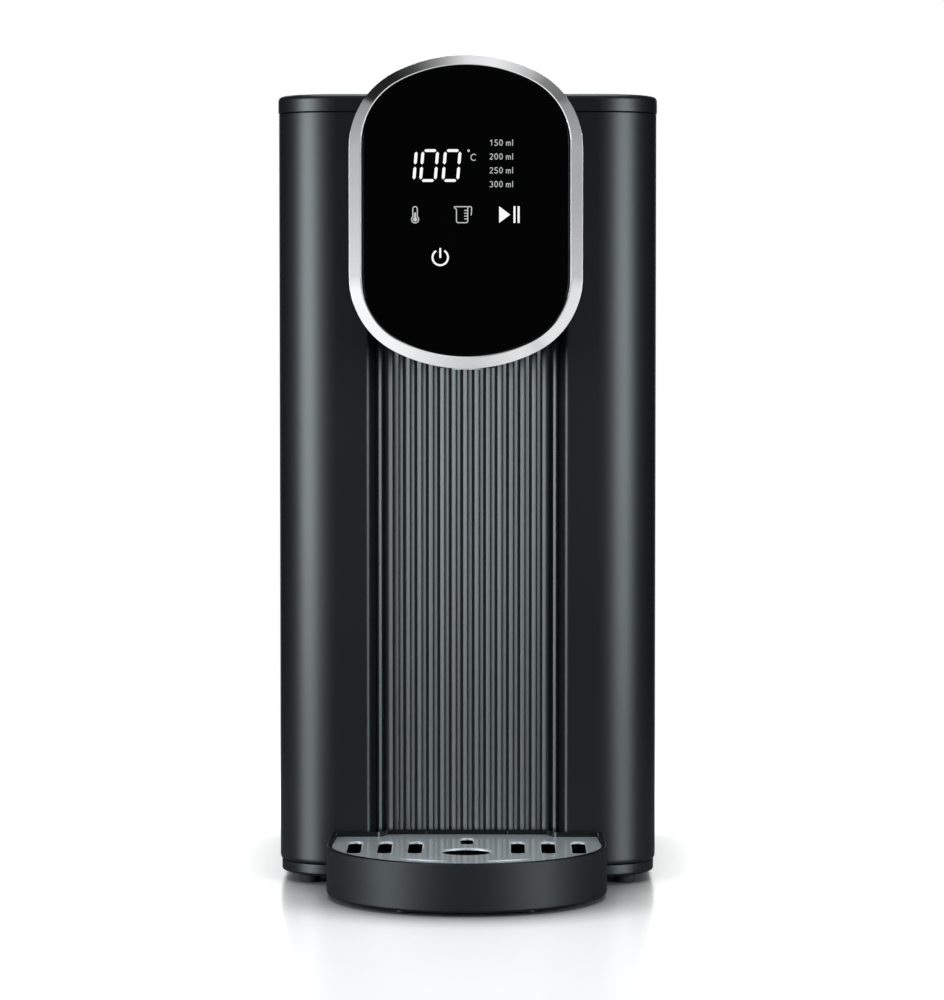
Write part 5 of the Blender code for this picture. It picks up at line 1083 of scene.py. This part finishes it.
def letters():
    """Plain letter forms as lines in a box one high, each with the width it takes up."""
    oval = disc((0, 0), 1) * (0.20, 0.44) + (0.25, 0.50)
    arch = np.concatenate([arc((0.21, 0.46), 0.14, 180, 0, 10), [(0.35, 0.0)]])
    two = np.concatenate([arc((0.25, 0.72), 0.20, 165, -35, 12), [(0.05, 0.08)]])
    three = [arc((0.22, 0.72), 0.20, 150, -80, 12), arc((0.22, 0.28), 0.23, 80, -150, 14)]
    five = arc((0.21, 0.29), 0.24, 115, -145, 14)
    return {
        "0": (0.66, [oval]),
        "1": (0.66, [[(0.30, 0.94), (0.30, 0.06)], [(0.08, 0.72), (0.27, 0.90)]]),
        "2": (0.66, [two, [(0.03, 0.06), (0.47, 0.06)]]),
        "3": (0.66, three),
        "5": (0.66, [[(0.10, 0.92), (0.44, 0.92)], [(0.12, 0.94), (0.10, 0.50)], five]),
        " ": (0.26, []),
        "m": (0.86, [[(0.07, 0.64), (0.07, 0.0)], arch, arch + (0.28, 0)]),
        "l": (0.20, [[(0.07, 1.0), (0.07, 0.0)]]),
    }


def lettering(text, foot, height, width):
    """Drawn text that starts at its left foot."""
    parts, across = [], 0.0
    shapes = letters()
    for mark in text:
        advance, paths = shapes[mark]
        for path in paths:
            path = (np.array(path) + (across, 0)) * (1.15 * height, height) + foot
            parts.append(stroke(path, width, loop=mark == "0"))
        across += advance
    return parts


class DISPENSER_OT_display(DispenserOperator, bpy.types.Operator):
    """Makes the lit marks: temperature, the list of volumes and the keys' symbols"""

    bl_idname = "dispenser.display"
    bl_label = "Display Marks"

    def execute(self, context):
        self.readout()
        self.volumes()
        self.symbols()
        return {"FINISHED"}

    def add(self, name, parts, finish="dim_mark"):
        """One piece from several lots of points and faces."""
        points, faces, start = [], [], 0
        for lot, cells in parts:
            points.append(lot)
            faces += [[i + start for i in cell] for cell in cells]
            start += len(lot)
        piece(name, solid(name, np.concatenate(points), faces), finish)

    def readout(self):
        """Three digits, and at their right the small ring and letter of the unit."""
        middle = HEAD_CENTRE + 0.0198
        shapes = digit("bc", 0.0072, (-0.0246, middle))
        for across in (-0.01566, -0.0061):
            shapes += digit("abcdef", 0.0075, (across, middle))
        self.add("temperature_digits", [patch(shape) for shape in shapes], "mark")
        dot = disc((0.00116, HEAD_CENTRE + 0.0261), 0.00055)
        letter = arc((0, 0), 1.0, 48, 312, 24) * (0.00122, 0.00132) + (0.0034, HEAD_CENTRE + 0.0233)
        self.add("temperature_unit", [patch(dot), stroke(letter, 0.00036)])

    def volumes(self):
        """The list of amounts, one row below the other."""
        parts = []
        left, top, pitch, height, width = 0.0101, HEAD_CENTRE + 0.0282, 0.00588, 0.0027, 0.00030
        for row, volume in enumerate((150, 200, 250, 300)):
            parts += lettering(f"{volume} ml", (left, top - row * pitch), height, width)
        self.add("volume_list", parts)

    def symbols(self):
        """The marks of the four touch keys: thermometer, jug, play and pause, and power."""
        middle = HEAD_CENTRE - 0.0011
        self.add("thermometer_symbol", self.thermometer(-0.02166, middle))
        self.add("jug_symbol", self.jug(-0.0014, middle))
        top, bottom = middle + 0.0036, middle - 0.0035
        play = [(0.0142, bottom), (0.0189, middle), (0.0142, top)]
        bars = [rectangle(x, x + 0.00088, bottom, top) for x in (0.0203, 0.02206)]
        self.add("start_symbol", [patch(shape) for shape in [play] + bars], "mark")
        x, z, width = -0.01093, HEAD_CENTRE - 0.0193, 0.0008
        ring = arc((x, z), 0.0033, 122, 418, 48)
        line = [(x, z - 0.0002), (x, z + 0.0040)]
        self.add("power_symbol", [stroke(ring, width), stroke(line, width)], "mark")

    def thermometer(self, x, z):
        """A bulb and a tube in outline, with the column inside."""
        neck, bulb = 0.00095, 0.0015
        low, high = z - 0.0020, z + 0.0025
        foot = math.degrees(math.acos(neck / bulb))
        outer = [arc((x, high), neck, 0, 180, 10), arc((x, low), bulb, 180 - foot, 360 + foot, 24)]
        filling = [disc((x, low), 0.0009), rectangle(x - 0.0004, x + 0.0004, low, z + 0.0009)]
        return [stroke(np.concatenate(outer), 0.00044, True)] + [patch(part) for part in filling]

    def jug(self, x, z):
        """A measuring jug in outline, with its spout at the left, handle at the right and four ticks."""
        top, bottom = z + 0.0034, z - 0.0034
        left, right, width = x - 0.0026, x + 0.0022, 0.00042
        corners = [(left - 0.0012, top), (left, top - 0.0012), (left, bottom), (right, bottom), (right, top)]
        body = rounded(corners, [0.0002, 0.0005, 0.0007, 0.0007, 0.0003], 4)
        handle = [(right, top), (right + 0.0017, top), (right + 0.0015, z - 0.0003)]
        handle = rounded(handle, 0.0006, 5, closed=False)
        ticks = [[(right - 0.0015, z + up), (right, z + up)] for up in (-0.0018, -0.0006, 0.0006, 0.0018)]
        return [stroke(body, width, True)] + [stroke(line, width) for line in [handle] + ticks]


class DISPENSER_OT_spout(DispenserOperator, bpy.types.Operator):
    """Makes the spout under the head and its seal"""

    bl_idname = "dispenser.spout"
    bl_label = "Spout"

    def execute(self, context):
        low, high = span("spout")
        flange = HIGH["spout_seal"][Z] + GAP
        neck = flange + 0.002
        outer, rim, barb, tube, bore, mouth = 0.0062, 0.0105, 0.0029, 0.0024, 0.0013, 0.0034
        profile = [(mouth, low), (outer, low), (outer, flange), (rim, flange), (rim, neck)]
        profile += [(tube, neck + 0.003), (tube, high - 0.003), (barb, high - 0.0028), (tube, high)]
        profile += [(bore, high), (bore, flange), (mouth, flange - 0.003)]
        lathed("spout_nozzle", rounded(profile, TINY_ROUND / 2, 4), SPOUT, "white", "spout")
        seal = sleeve(rim, SPOUT_BORE, *span("spout_seal"), 0.0004)
        lathed("spout_gasket", seal, SPOUT, "silicone", "spout_seal")
        return {"FINISHED"}


class DISPENSER_OT_tray(DispenserOperator, bpy.types.Operator):
    """Makes the drip tray with its rim, hooks and the two nubs that it stands on"""

    bl_idname = "dispenser.tray"
    bl_label = "Drip Tray"

    def execute(self, context):
        sizes = context.scene.dispenser_tray
        bottom, rim, ledge = 0.0017, GRID_TOP + 0.0004, GRID_FLOOR - GAP
        shelf, floor = sizes.wall + sizes.ledge, bottom + sizes.floor
        profile = [(0.003, bottom), (0, bottom), (0, rim), (sizes.wall, rim), (sizes.wall, ledge)]
        profile += [(shelf, ledge), (shelf, floor), (shelf + 0.002, floor)]
        radii = [0, sizes.edge, sizes.rim_edge] + [EDGE_ROUND] * 3 + [0.0012, 0]
        lip_start = FRONT - TRAY_GAP - 0.0022
        rows = []
        for distance, z in rounded(profile, radii, 5, closed=False):
            plan = tray_plan(sizes, distance)
            start = lip_start - distance
            lip = smooth(plan[:, 1], start, start + 0.0012) * sizes.lip * (z > ledge + 0.0006)
            rows.append(flat(plan, z + lip))
        joined = []
        nub = rod(0.0040, 0, 0.0027, 0.0006)
        nub_across, nub_place, nib_across = 0.0265, FRONT - sizes.reach + 0.0145, 0.0183
        hook_floor, hook_top = 0.0129, 0.0159
        for hand in SIDES:
            hook = box_plan(hand * HOOK_PLACE, FRONT + 0.0035, 0.005, 0.005)
            joined.append(prism("hook", hook, hook_floor, hook_top))
            joined.append(turned("nub", nub, (hand * nub_across, nub_place, 0), steps=32))
            joined.append(self.nib(sizes, hand * nib_across, rim))
        piece("tray_bowl", skin("tray_bowl", rows), "tray", "drip_tray", "tray", joined)
        return {"FINISHED"}

    def nib(self, sizes, across, rim):
        """A small upright ridge on the rear wall, above the grid."""
        wall, half = FRONT + sizes.step_depth - sizes.wall, 0.0006
        outline = [(across - half, wall + 0.0002), (across, wall - 0.00032), (across + half, wall + 0.0002)]
        return prism("nib", outline, GRID_TOP + 0.0002, rim + sizes.lip - 0.0004)


class DISPENSER_OT_grid(DispenserOperator, bpy.types.Operator):
    """Makes the steel grid with its slots, drain hole and raised arcs"""

    bl_idname = "dispenser.grid"
    bl_label = "Drip Grid"

    def execute(self, context):
        sizes = context.scene.dispenser_tray
        rim, edge, top = sizes.wall + 0.0004, 0.0003, GRID_TOP
        profile = [(rim + edge, GRID_FLOOR), (rim, GRID_FLOOR + edge), (rim, top - edge)]
        profile += [(rim + edge / 3, top - edge / 3), (rim + edge, top)]
        mesh = skin("grid_plate", [flat(tray_plan(sizes, distance), z) for distance, z in profile])
        cut = []
        first_slot, slot_middle = 0.0225, FRONT - 0.037
        for i in range(3):
            for hand in SIDES:
                across = hand * (first_slot + i * sizes.slot_pitch)
                cut.append(self.slot(across, slot_middle, sizes.slot_width, sizes.slot_length))
        cut.append(self.slot(0, FRONT - 0.0165, 0.0056, 0.020))
        drain = [(sizes.drain_radius + wider, z) for wider, z in self.flared()]
        drain = [(0, drain[0][1])] + drain + [(0, drain[-1][1])]
        cut.append(turned("drain", drain, SPOUT, steps=96))
        joined = [self.bead(sizes, side) for side in SIDES]
        piece("grid_plate", mesh, "grid", "drip_grid", "grid", joined, cut, bevel=0.00015, sharp=40)
        return {"FINISHED"}

    def flared(self):
        """How much wider a hole is at each height, flared at the top as a punched edge is."""
        flare = 0.0004
        levels = [(0, GRID_FLOOR - OVERRUN), (0, GRID_TOP - flare), (flare, GRID_TOP)]
        return levels + [(flare + OVERRUN, GRID_TOP + OVERRUN)]

    def slot(self, across, middle, width, reach):
        """A slot with round ends."""
        corners, end = box_plan(across, middle, width / 2, reach / 2), width / 2 * 0.98
        return skin("slot", [flat(shrunk(corners, end, -wider, 8), z) for wider, z in self.flared()])

    def bead(self, sizes, side):
        """A raised arc on the plate: a flattened half round that thins towards both ends as sqrt(sin)."""
        middle = FRONT - sizes.reach + sizes.radius
        half_width, half_height = 0.0013, 0.00055
        share = np.linspace(0.02, 0.98, 40)
        turn = np.radians(-90 + side * (8 + 26 * share))
        swell = np.sqrt(np.sin(share * math.pi))
        ring = disc((0, 0), 1.0)
        across = ring[None, :, 0] * half_width * swell[:, None] + sizes.bead_radius
        height = ring[None, :, 1] * half_height * swell[:, None] + GRID_TOP - 0.0001
        rows = [across * np.cos(turn)[:, None], middle + across * np.sin(turn)[:, None], height]
        return skin("bead", np.stack(rows, axis=-1))


class DISPENSER_OT_shelf(DispenserOperator, bpy.types.Operator):
    """Makes the tank's shelf, the dock with its seal, and the cord gland"""

    bl_idname = "dispenser.shelf"
    bl_label = "Shelf and Dock"

    def execute(self, context):
        sizes = context.scene.dispenser_body
        wall = sizes.wall
        corners = rectangle(-HALF_WIDTH, HALF_WIDTH, TANK_FRONT, TANK_REAR)
        radii = np.repeat([0.0044, sizes.corner_radius], 2)
        edges = [0.0012, EDGE_ROUND, EDGE_ROUND, EDGE_ROUND]
        profile = cup(wall + 0.001, 0, wall, SHELF_TOP, HOUSING_FLOOR, SHELF_TOP - wall, edges)
        mesh = moulding("shelf_shell", corners, radii, profile)
        dock_bore, hose_bore, gland_bore = 0.0143, 0.0052, 0.0045
        dock = rod(dock_bore, SHELF_TOP - wall - OVERRUN, SHELF_TOP + OVERRUN)
        hose = rod(hose_bore, TANK_FRONT - OVERRUN, TANK_FRONT + wall + OVERRUN)
        gland = rod(gland_bore, TANK_REAR - wall - OVERRUN, TANK_REAR + OVERRUN)
        cut = [turned("dock_hole", dock, under(DOCK))]
        cut.append(turned("hose_hole", hose, (DOCK[X], 0, GLAND[Z]), "Y", 48))
        cut.append(turned("gland_hole", gland, (GLAND[X], 0, GLAND[Z]), "Y", 48))
        piece("shelf_shell", mesh, "body", "tank_shelf", joined=bosses("rear"), cut=cut)
        self.gland()
        seal = sleeve(0.0112, 0.0093, *span("dock_seal"), 0.0005)
        lathed("dock_ring", seal, under(DOCK), "silicone", "dock_seal")
        return {"FINISHED"}

    def gland(self):
        """A bored rubber plug: a neck in the wall and a collar outside it."""
        near, far = span("cord_gland", Y)
        neck, collar, tip, bore, wall = 0.0042, 0.0060, 0.0057, 0.0032, TANK_REAR + GAP
        profile = [(neck, near), (neck, wall), (collar, wall), (tip, far), (bore, far), (bore, near)]
        profile = rounded(profile, [EDGE_ROUND, TINY_ROUND, 0.0005, 0.0010, 0.0006, EDGE_ROUND], 5)
        lathed("gland_collar", profile, (GLAND[X], 0, GLAND[Z]), "rubber", "cord_gland", axis="Y")


class DISPENSER_OT_tank(DispenserOperator, bpy.types.Operator):
    """Makes the smoked tank with its hinge ears, pins, valve, strainer and float"""

    bl_idname = "dispenser.tank"
    bl_label = "Water Tank"

    def execute(self, context):
        self.walls(context.scene.dispenser_body)
        self.valve()
        self.strainer()
        self.spring()
        self.level_float()
        return {"FINISHED"}

    def walls(self, sizes):
        """The open tank with two pairs of ears at its rear edge, and the pins in them."""
        bottom = LOW["water_tank"][Z]
        floor = bottom + 0.0026
        corners = rectangle(-HALF_WIDTH, HALF_WIDTH, TANK_FRONT, TANK_REAR)
        radii = np.repeat([0.0060, sizes.corner_radius], 2)
        profile = cup(0.005, 0, TANK_WALL, bottom, HOUSING_TOP, floor, [0.0030, 0.0005, 0.0005, 0.0020], 8)
        mesh = moulding("tank_shell", corners, radii, profile)
        near, far = 0.0063, 0.0093
        ears, cut = [], []
        for hand, name in zip(SIDES, ("left", "right")):
            middle = hand * abs(HINGE[X])
            ears += [self.ear(middle + side * near, middle + side * far) for side in SIDES]
            cut.append(along_hinge("ear_bore", HINGE_BORE, middle, far + OVERRUN))
            node = "hinge_pin_" + name
            piece(node + "_steel", along_hinge(node, 0.0011, middle, far), "spring", node, "tank")
        cut.append(turned("valve_hole", rod(0.0093, bottom - OVERRUN, floor + OVERRUN), under(DOCK)))
        piece("tank_shell", mesh, "tank", "water_tank", "tank", ears, cut)

    def ear(self, start, end):
        """A hinge ear: round about the hinge's axis, sloping down to the tank's rear wall."""
        near, below = TANK_REAR - 0.0011, HOUSING_TOP - GAP
        outline = arc(HINGE[1:], HINGE_ROUND, 150, -60, 20)
        foot = [(near, HINGE[Z] - 0.0112), (near, below), (TANK_REAR + 0.00015, below)]
        return prism("ear", np.concatenate([outline, foot]), start, end, sideways)

    def valve(self):
        """A stepped sleeve, and the plunger in it: a stem with a plate part of the way up."""
        low, high = span("valve_body")
        flange, step = high - 0.002, low + 0.004
        mouth, barrel, rim, bore = 0.0042, 0.0090, 0.0130, 0.0064
        body = [(mouth, low), (barrel, low), (barrel, flange), (rim, flange), (rim, high), (bore, high)]
        body = rounded(body + [(bore, step), (mouth, step)], TINY_ROUND, 4)
        lathed("valve_sleeve", body, under(DOCK), "grey", "valve_body", "tank")
        low, high = span("valve_plunger")
        stem, plate = 0.0015, high - 0.015
        parts = stacked(low, [(stem, plate), (0.0053, plate + 0.002), (stem, high)])
        made = turned("plunger_stem", parts, under(DOCK), steps=48)
        piece("plunger_stem", made, "silicone", "valve_plunger", "plunger")

    def strainer(self):
        """A cap over the valve, cut through by six bars that cross its middle."""
        low, high = span("tank_strainer")
        wall = 0.0012
        outer, inner, hole, roof = 0.0112, 0.0100, 0.0018, high - wall
        profile = [(outer, low), (outer, high), (hole, high), (hole, roof), (inner, roof), (inner, low)]
        profile = rounded(profile, [TINY_ROUND, 0.0008] + [TINY_ROUND] * 4, 5)
        cut, half_slot = [], 0.0009
        for turn in np.arange(6) * math.pi / 6:
            along = np.array([math.cos(turn), math.sin(turn)]) * (outer + OVERRUN)
            aside = np.array([-math.sin(turn), math.cos(turn)]) * half_slot
            outline = np.array([along + aside, aside - along, -along - aside, along - aside]) + DOCK[:2]
            cut.append(prism("strainer_slot", outline, low + wall, high - 2 * wall))
        mesh = turned("strainer_cap", profile, under(DOCK), ring=True)
        piece("strainer_cap", mesh, "white", "tank_strainer", "tank", cut=cut)

    def spring(self):
        """A helix of wire: its centre line turns evenly as it climbs, with rings square to it."""
        bottom, fixed = span("valve_spring")
        wire, coils, travel = 0.0004, 4, 0.003
        low, high = bottom + wire, fixed - wire
        radius = (HIGH["valve_spring"][X] - LOW["valve_spring"][X]) / 2 - wire
        share = np.linspace(0, 1, 240)
        a = share * 2 * math.pi * coils
        line = np.column_stack([radius * np.cos(a), radius * np.sin(a), low + (high - low) * share])
        along = unit(np.gradient(line, axis=0))
        side = np.column_stack([np.cos(a), np.sin(a), 0 * a])
        side = unit(side - along * (side * along).sum(axis=1, keepdims=True))
        up = np.cross(along, side)
        ring = arc((0, 0), wire, 0, 324, 9)
        rows = line[:, None] + side[:, None] * ring[None, :, :1] + up[:, None] * ring[None, :, 1:]
        mesh = skin("valve_coil", rows + np.array(under(DOCK)))
        made = piece("valve_coil", mesh, "spring", "valve_spring", "tank")
        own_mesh(made)

    def level_float(self):
        """A post with a foot and a cap, and the ring that floats up it."""
        low, high = span("float_post")
        plate = 0.002
        post = stacked(low, [(0.0050, low + plate), (0.0025, high - plate), (0.0060, high)], 0.0004, 5)
        piece("float_stem", turned("float_stem", post, under(FLOAT), steps=48), "white", "float_post", "tank")
        body = sleeve(0.0095, 0.0029, *span("tank_float"), 0.0012)
        lathed("float_ring", body, under(FLOAT), "white", "tank_float", "float")


INNER_FINISHES = {
    "grey": "rear_bulkhead heater_bracket_lower heater_bracket_upper power_relay display_ribbon tank_dock",
    "white": "pump_housing pump_impeller heater_cap_bottom heater_cap_top digit_display",
    "aluminium": "pump_motor heater_body thermal_cutout power_heat_sink",
    "spring": "heating_element temperature_sensor touch_pad_temperature touch_pad_volume touch_pad_start "
    "touch_pad_power",
    "silicone": "suction_hose pressure_hose outlet_hose heater_lead",
    "rubber": "pump_bracket",
    "board": "power_board display_board",
}


class DISPENSER_OT_inner_parts(DispenserOperator, bpy.types.Operator):
    """Gives the parts inside the casing their finishes"""

    bl_idname = "dispenser.inner_parts"
    bl_label = "Inner Parts"

    def execute(self, context):
        for finish, nodes in INNER_FINISHES.items():
            for name in nodes.split():
                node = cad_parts[name]
                node.data.materials.clear()
                node.data.materials.append(MATERIALS[finish])
        return {"FINISHED"}


# Reflectors round the camera: the angle from the right, upwards, and how bright the card is there
REFLECTORS = [(-180, 0.78), (-172, 0.96), (-120, 0.90), (-110, 0.80), (-95, 0.66), (-88, 0.63), (-80, 0.69)]
REFLECTORS += [(-68, 0.78), (-60, 0.62), (-52, 0.78), (-8, 0.74), (-0.5, 0.60), (3.5, 0.36), (36, 0.27)]
REFLECTORS += [(40, 0.14), (58, 0.22), (80, 0.84), (90, 0.75), (100, 0.28), (110, 0.045), (118, 0.006)]
REFLECTORS += [(142, 0.008), (144, 0.26), (176, 0.44), (180, 0.78)]
REFLECTOR_POWER = 1.2


class DISPENSER_OT_stage(DispenserOperator, bpy.types.Operator):
    """Sets up the camera, the lamps, the white surroundings and the pale floor"""

    bl_idname = "dispenser.stage"
    bl_label = "Stage"

    def execute(self, context):
        studio = context.scene.dispenser_studio
        context.scene.view_settings.view_transform = "Standard"
        self.camera(context, studio)
        self.lamps(studio)
        self.world(context)
        self.floor(studio)
        return {"FINISHED"}

    def camera(self, context, studio):
        """A camera in front of the body, turned and tilted by the two angles."""
        data = bpy.data.cameras.new("camera")
        data.lens = studio.focal_length
        data.sensor_width = 36.0
        made = placed("camera", data)
        made.location = (studio.camera_across, FRONT - studio.camera_distance, studio.camera_height)
        made.rotation_euler = (math.pi / 2 - studio.camera_tilt, 0, studio.camera_turn)
        context.scene.camera = made

    def lamp(self, name, watts, place, target, size, tint=(1.0, 1.0, 1.0)):
        """A rectangular lamp that faces its target."""
        data = bpy.data.lights.new(name, "AREA")
        data.shape = "RECTANGLE"
        data.size, data.size_y = size
        data.energy = watts
        data.color = tint
        made = placed(name, data)
        made.location = place
        made.rotation_euler = (Vector(target) - Vector(place)).to_track_quat("-Z", "Y").to_euler()

    def lamps(self, studio):
        """A soft lamp at each side, at its angle round from the front, one overhead and one behind."""
        distance, height = 1.1, 0.265
        cool = (0.86, 0.96, 1.0)
        for name, degrees, share in (("left lamp", -62, 1.0), ("right lamp", 56, 0.80)):
            turn = math.radians(degrees)
            place = (distance * math.sin(turn), FRONT - distance * math.cos(turn), height)
            self.lamp(name, studio.side_power * share, place, (0, FRONT, height - 0.05), (0.56, 0.56), cool)
        self.lamp("top lamp", studio.top_power, (0, 0.16, 1.3), (0, 0, 0), (0.9, 0.5), cool)
        self.lamp("back lamp", studio.back_power, (0, 1.5, 0.75), (0, 0.1, 0.2), (0.8, 0.7))

    def world(self, context):
        """White to the camera. To everything else: a white backdrop behind, dark sides, and a broad ring of
        reflectors round the camera whose brightness follows the angle round that ring."""
        world = bpy.data.worlds.new("studio")
        context.scene.world = world
        world.use_nodes = True
        nodes = Nodes(world.node_tree)
        background = world.node_tree.nodes["Background"]
        direction = nodes.add("TexCoord", output="Generated")
        x, y, z = (nodes.add("SeparateXYZ", inputs={"Vector": direction}, output=i) for i in range(3))
        away = -y
        ring = nodes.step(away, 0.69, 0.72) * (1 - nodes.step(away, 0.895, 0.91))
        turn = z.math("ARCTAN2", z, x) / (2 * math.pi) + 0.5
        stops = [(0.5 + degrees / 360, level) for degrees, level in REFLECTORS]
        shade = nodes.add("ValToRGB", {"stops": stops}, {"Fac": turn}, output="Color") * REFLECTOR_POWER
        behind = nodes.step(y, 0.92, 0.97)
        glow = ring * shade + behind + 0.012
        rays = nodes.add("LightPath", output="Is Camera Ray")
        level = glow * (1 - rays) + rays
        plug(nodes.tree, level, background.inputs["Strength"])
        plug(nodes.tree, (1.0, 1.0, 1.0), background.inputs["Color"])

    def floor(self, studio):
        """A pale disc whose rim fades into the white surroundings: distance from its middle decides. To the
        camera it glows white, with a painted shadow near the object where ambient occlusion darkens that
        glow.
        """
        shares = (1.0, 0.7, 0.4, 0.15)
        rows = [flat(arc((0, 0), share * studio.floor_radius, 0, 356.25, 95), 0) for share in shares]
        points, faces = rings(rows)
        faces.pop(-2)
        mesh = bpy.data.meshes.new("floor")
        mesh.from_pydata(points.tolist(), [], faces)
        made = placed("floor", mesh)
        material = bpy.data.materials.new("pale floor")
        material.use_nodes = True
        tree = material.node_tree
        tree.nodes.clear()
        nodes = Nodes(tree)
        white = (1.0, 1.0, 1.0)
        where = nodes.add("TexCoord", output="Object")
        distance = nodes.add("VectorMath", {"operation": "LENGTH"}, {0: where}, output="Value")
        camera = nodes.add("LightPath", output="Is Camera Ray")
        paint = nodes.add("BsdfPrincipled", inputs={"Base Color": (0.26, 0.26, 0.26), "Roughness": 0.2})
        # Painted shadow: two ambient occlusion terms darken the floor's glow to the camera near the object
        painted_broad_shadow = nodes.add("AmbientOcclusion", {"samples": 8}, {"Distance": 0.14}, output="AO")
        painted_contact_shadow = nodes.add("AmbientOcclusion", {"samples": 8}, {"Distance": 0.034}, output="AO")
        strength = camera * painted_broad_shadow**1.4 * painted_contact_shadow**1.7 * 0.77
        glow = nodes.add("Emission", inputs={"Color": white, "Strength": strength})
        floor_with_painted_shadow = nodes.add("AddShader", inputs={0: paint, 1: glow})
        shine = nodes.add("Emission", inputs={"Color": white, "Strength": 1.0})
        clear = nodes.add("BsdfTransparent")
        rim = nodes.add("MixShader", inputs={0: camera, 1: clear, 2: shine})
        fade = nodes.step(distance, studio.floor_radius * 0.45, studio.floor_radius * 0.95)
        shown = nodes.add("MixShader", inputs={0: fade, 1: floor_with_painted_shadow, 2: rim})
        nodes.add("OutputMaterial", inputs={"Surface": shown})
        mesh.materials.append(material)


STEPS = [
    DISPENSER_OT_materials,
    DISPENSER_OT_base,
    DISPENSER_OT_housing,
    DISPENSER_OT_splash_panel,
    DISPENSER_OT_covers,
    DISPENSER_OT_head,
    DISPENSER_OT_display,
    DISPENSER_OT_spout,
    DISPENSER_OT_tray,
    DISPENSER_OT_grid,
    DISPENSER_OT_shelf,
    DISPENSER_OT_tank,
    DISPENSER_OT_inner_parts,
    DISPENSER_OT_stage,
]
GROUPS = {
    "dispenser_body": BodySizes,
    "dispenser_panel": PanelSizes,
    "dispenser_head": HeadSizes,
    "dispenser_tray": TraySizes,
    "dispenser_finishes": Finishes,
    "dispenser_studio": Studio,
}


class DISPENSER_PT_panel(bpy.types.Panel):
    """The dispenser's settings and the operators that make its pieces"""

    bl_label = "Water Dispenser"
    bl_idname = "DISPENSER_PT_panel"
    bl_space_type = "VIEW_3D"
    bl_region_type = "UI"
    bl_category = "Dispenser"

    def draw(self, context):
        for name, group in GROUPS.items():
            column = self.layout.column(align=True)
            for setting in group.__annotations__:
                column.prop(getattr(context.scene, name), setting)
        for step in STEPS:
            self.layout.operator(step.bl_idname)


def register():
    """Adds the settings to the scene, and the operators and the panel to Blender."""
    for group in GROUPS.values():
        bpy.utils.register_class(group)
    for name, group in GROUPS.items():
        setattr(bpy.types.Scene, name, PointerProperty(type=group))
    for step in STEPS:
        bpy.utils.register_class(step)
    bpy.utils.register_class(DISPENSER_PT_panel)


def unregister():
    """Takes them all away again, the last one first."""
    bpy.utils.unregister_class(DISPENSER_PT_panel)
    for step in reversed(STEPS):
        bpy.utils.unregister_class(step)
    for name, group in reversed(GROUPS.items()):
        delattr(bpy.types.Scene, name)
        bpy.utils.unregister_class(group)


def main():
    """Makes all the pieces in order."""
    register()
    for step in STEPS:
        group, name = step.bl_idname.split(".")
        getattr(getattr(bpy.ops, group), name)()


if __name__ == "__main__":
    main()
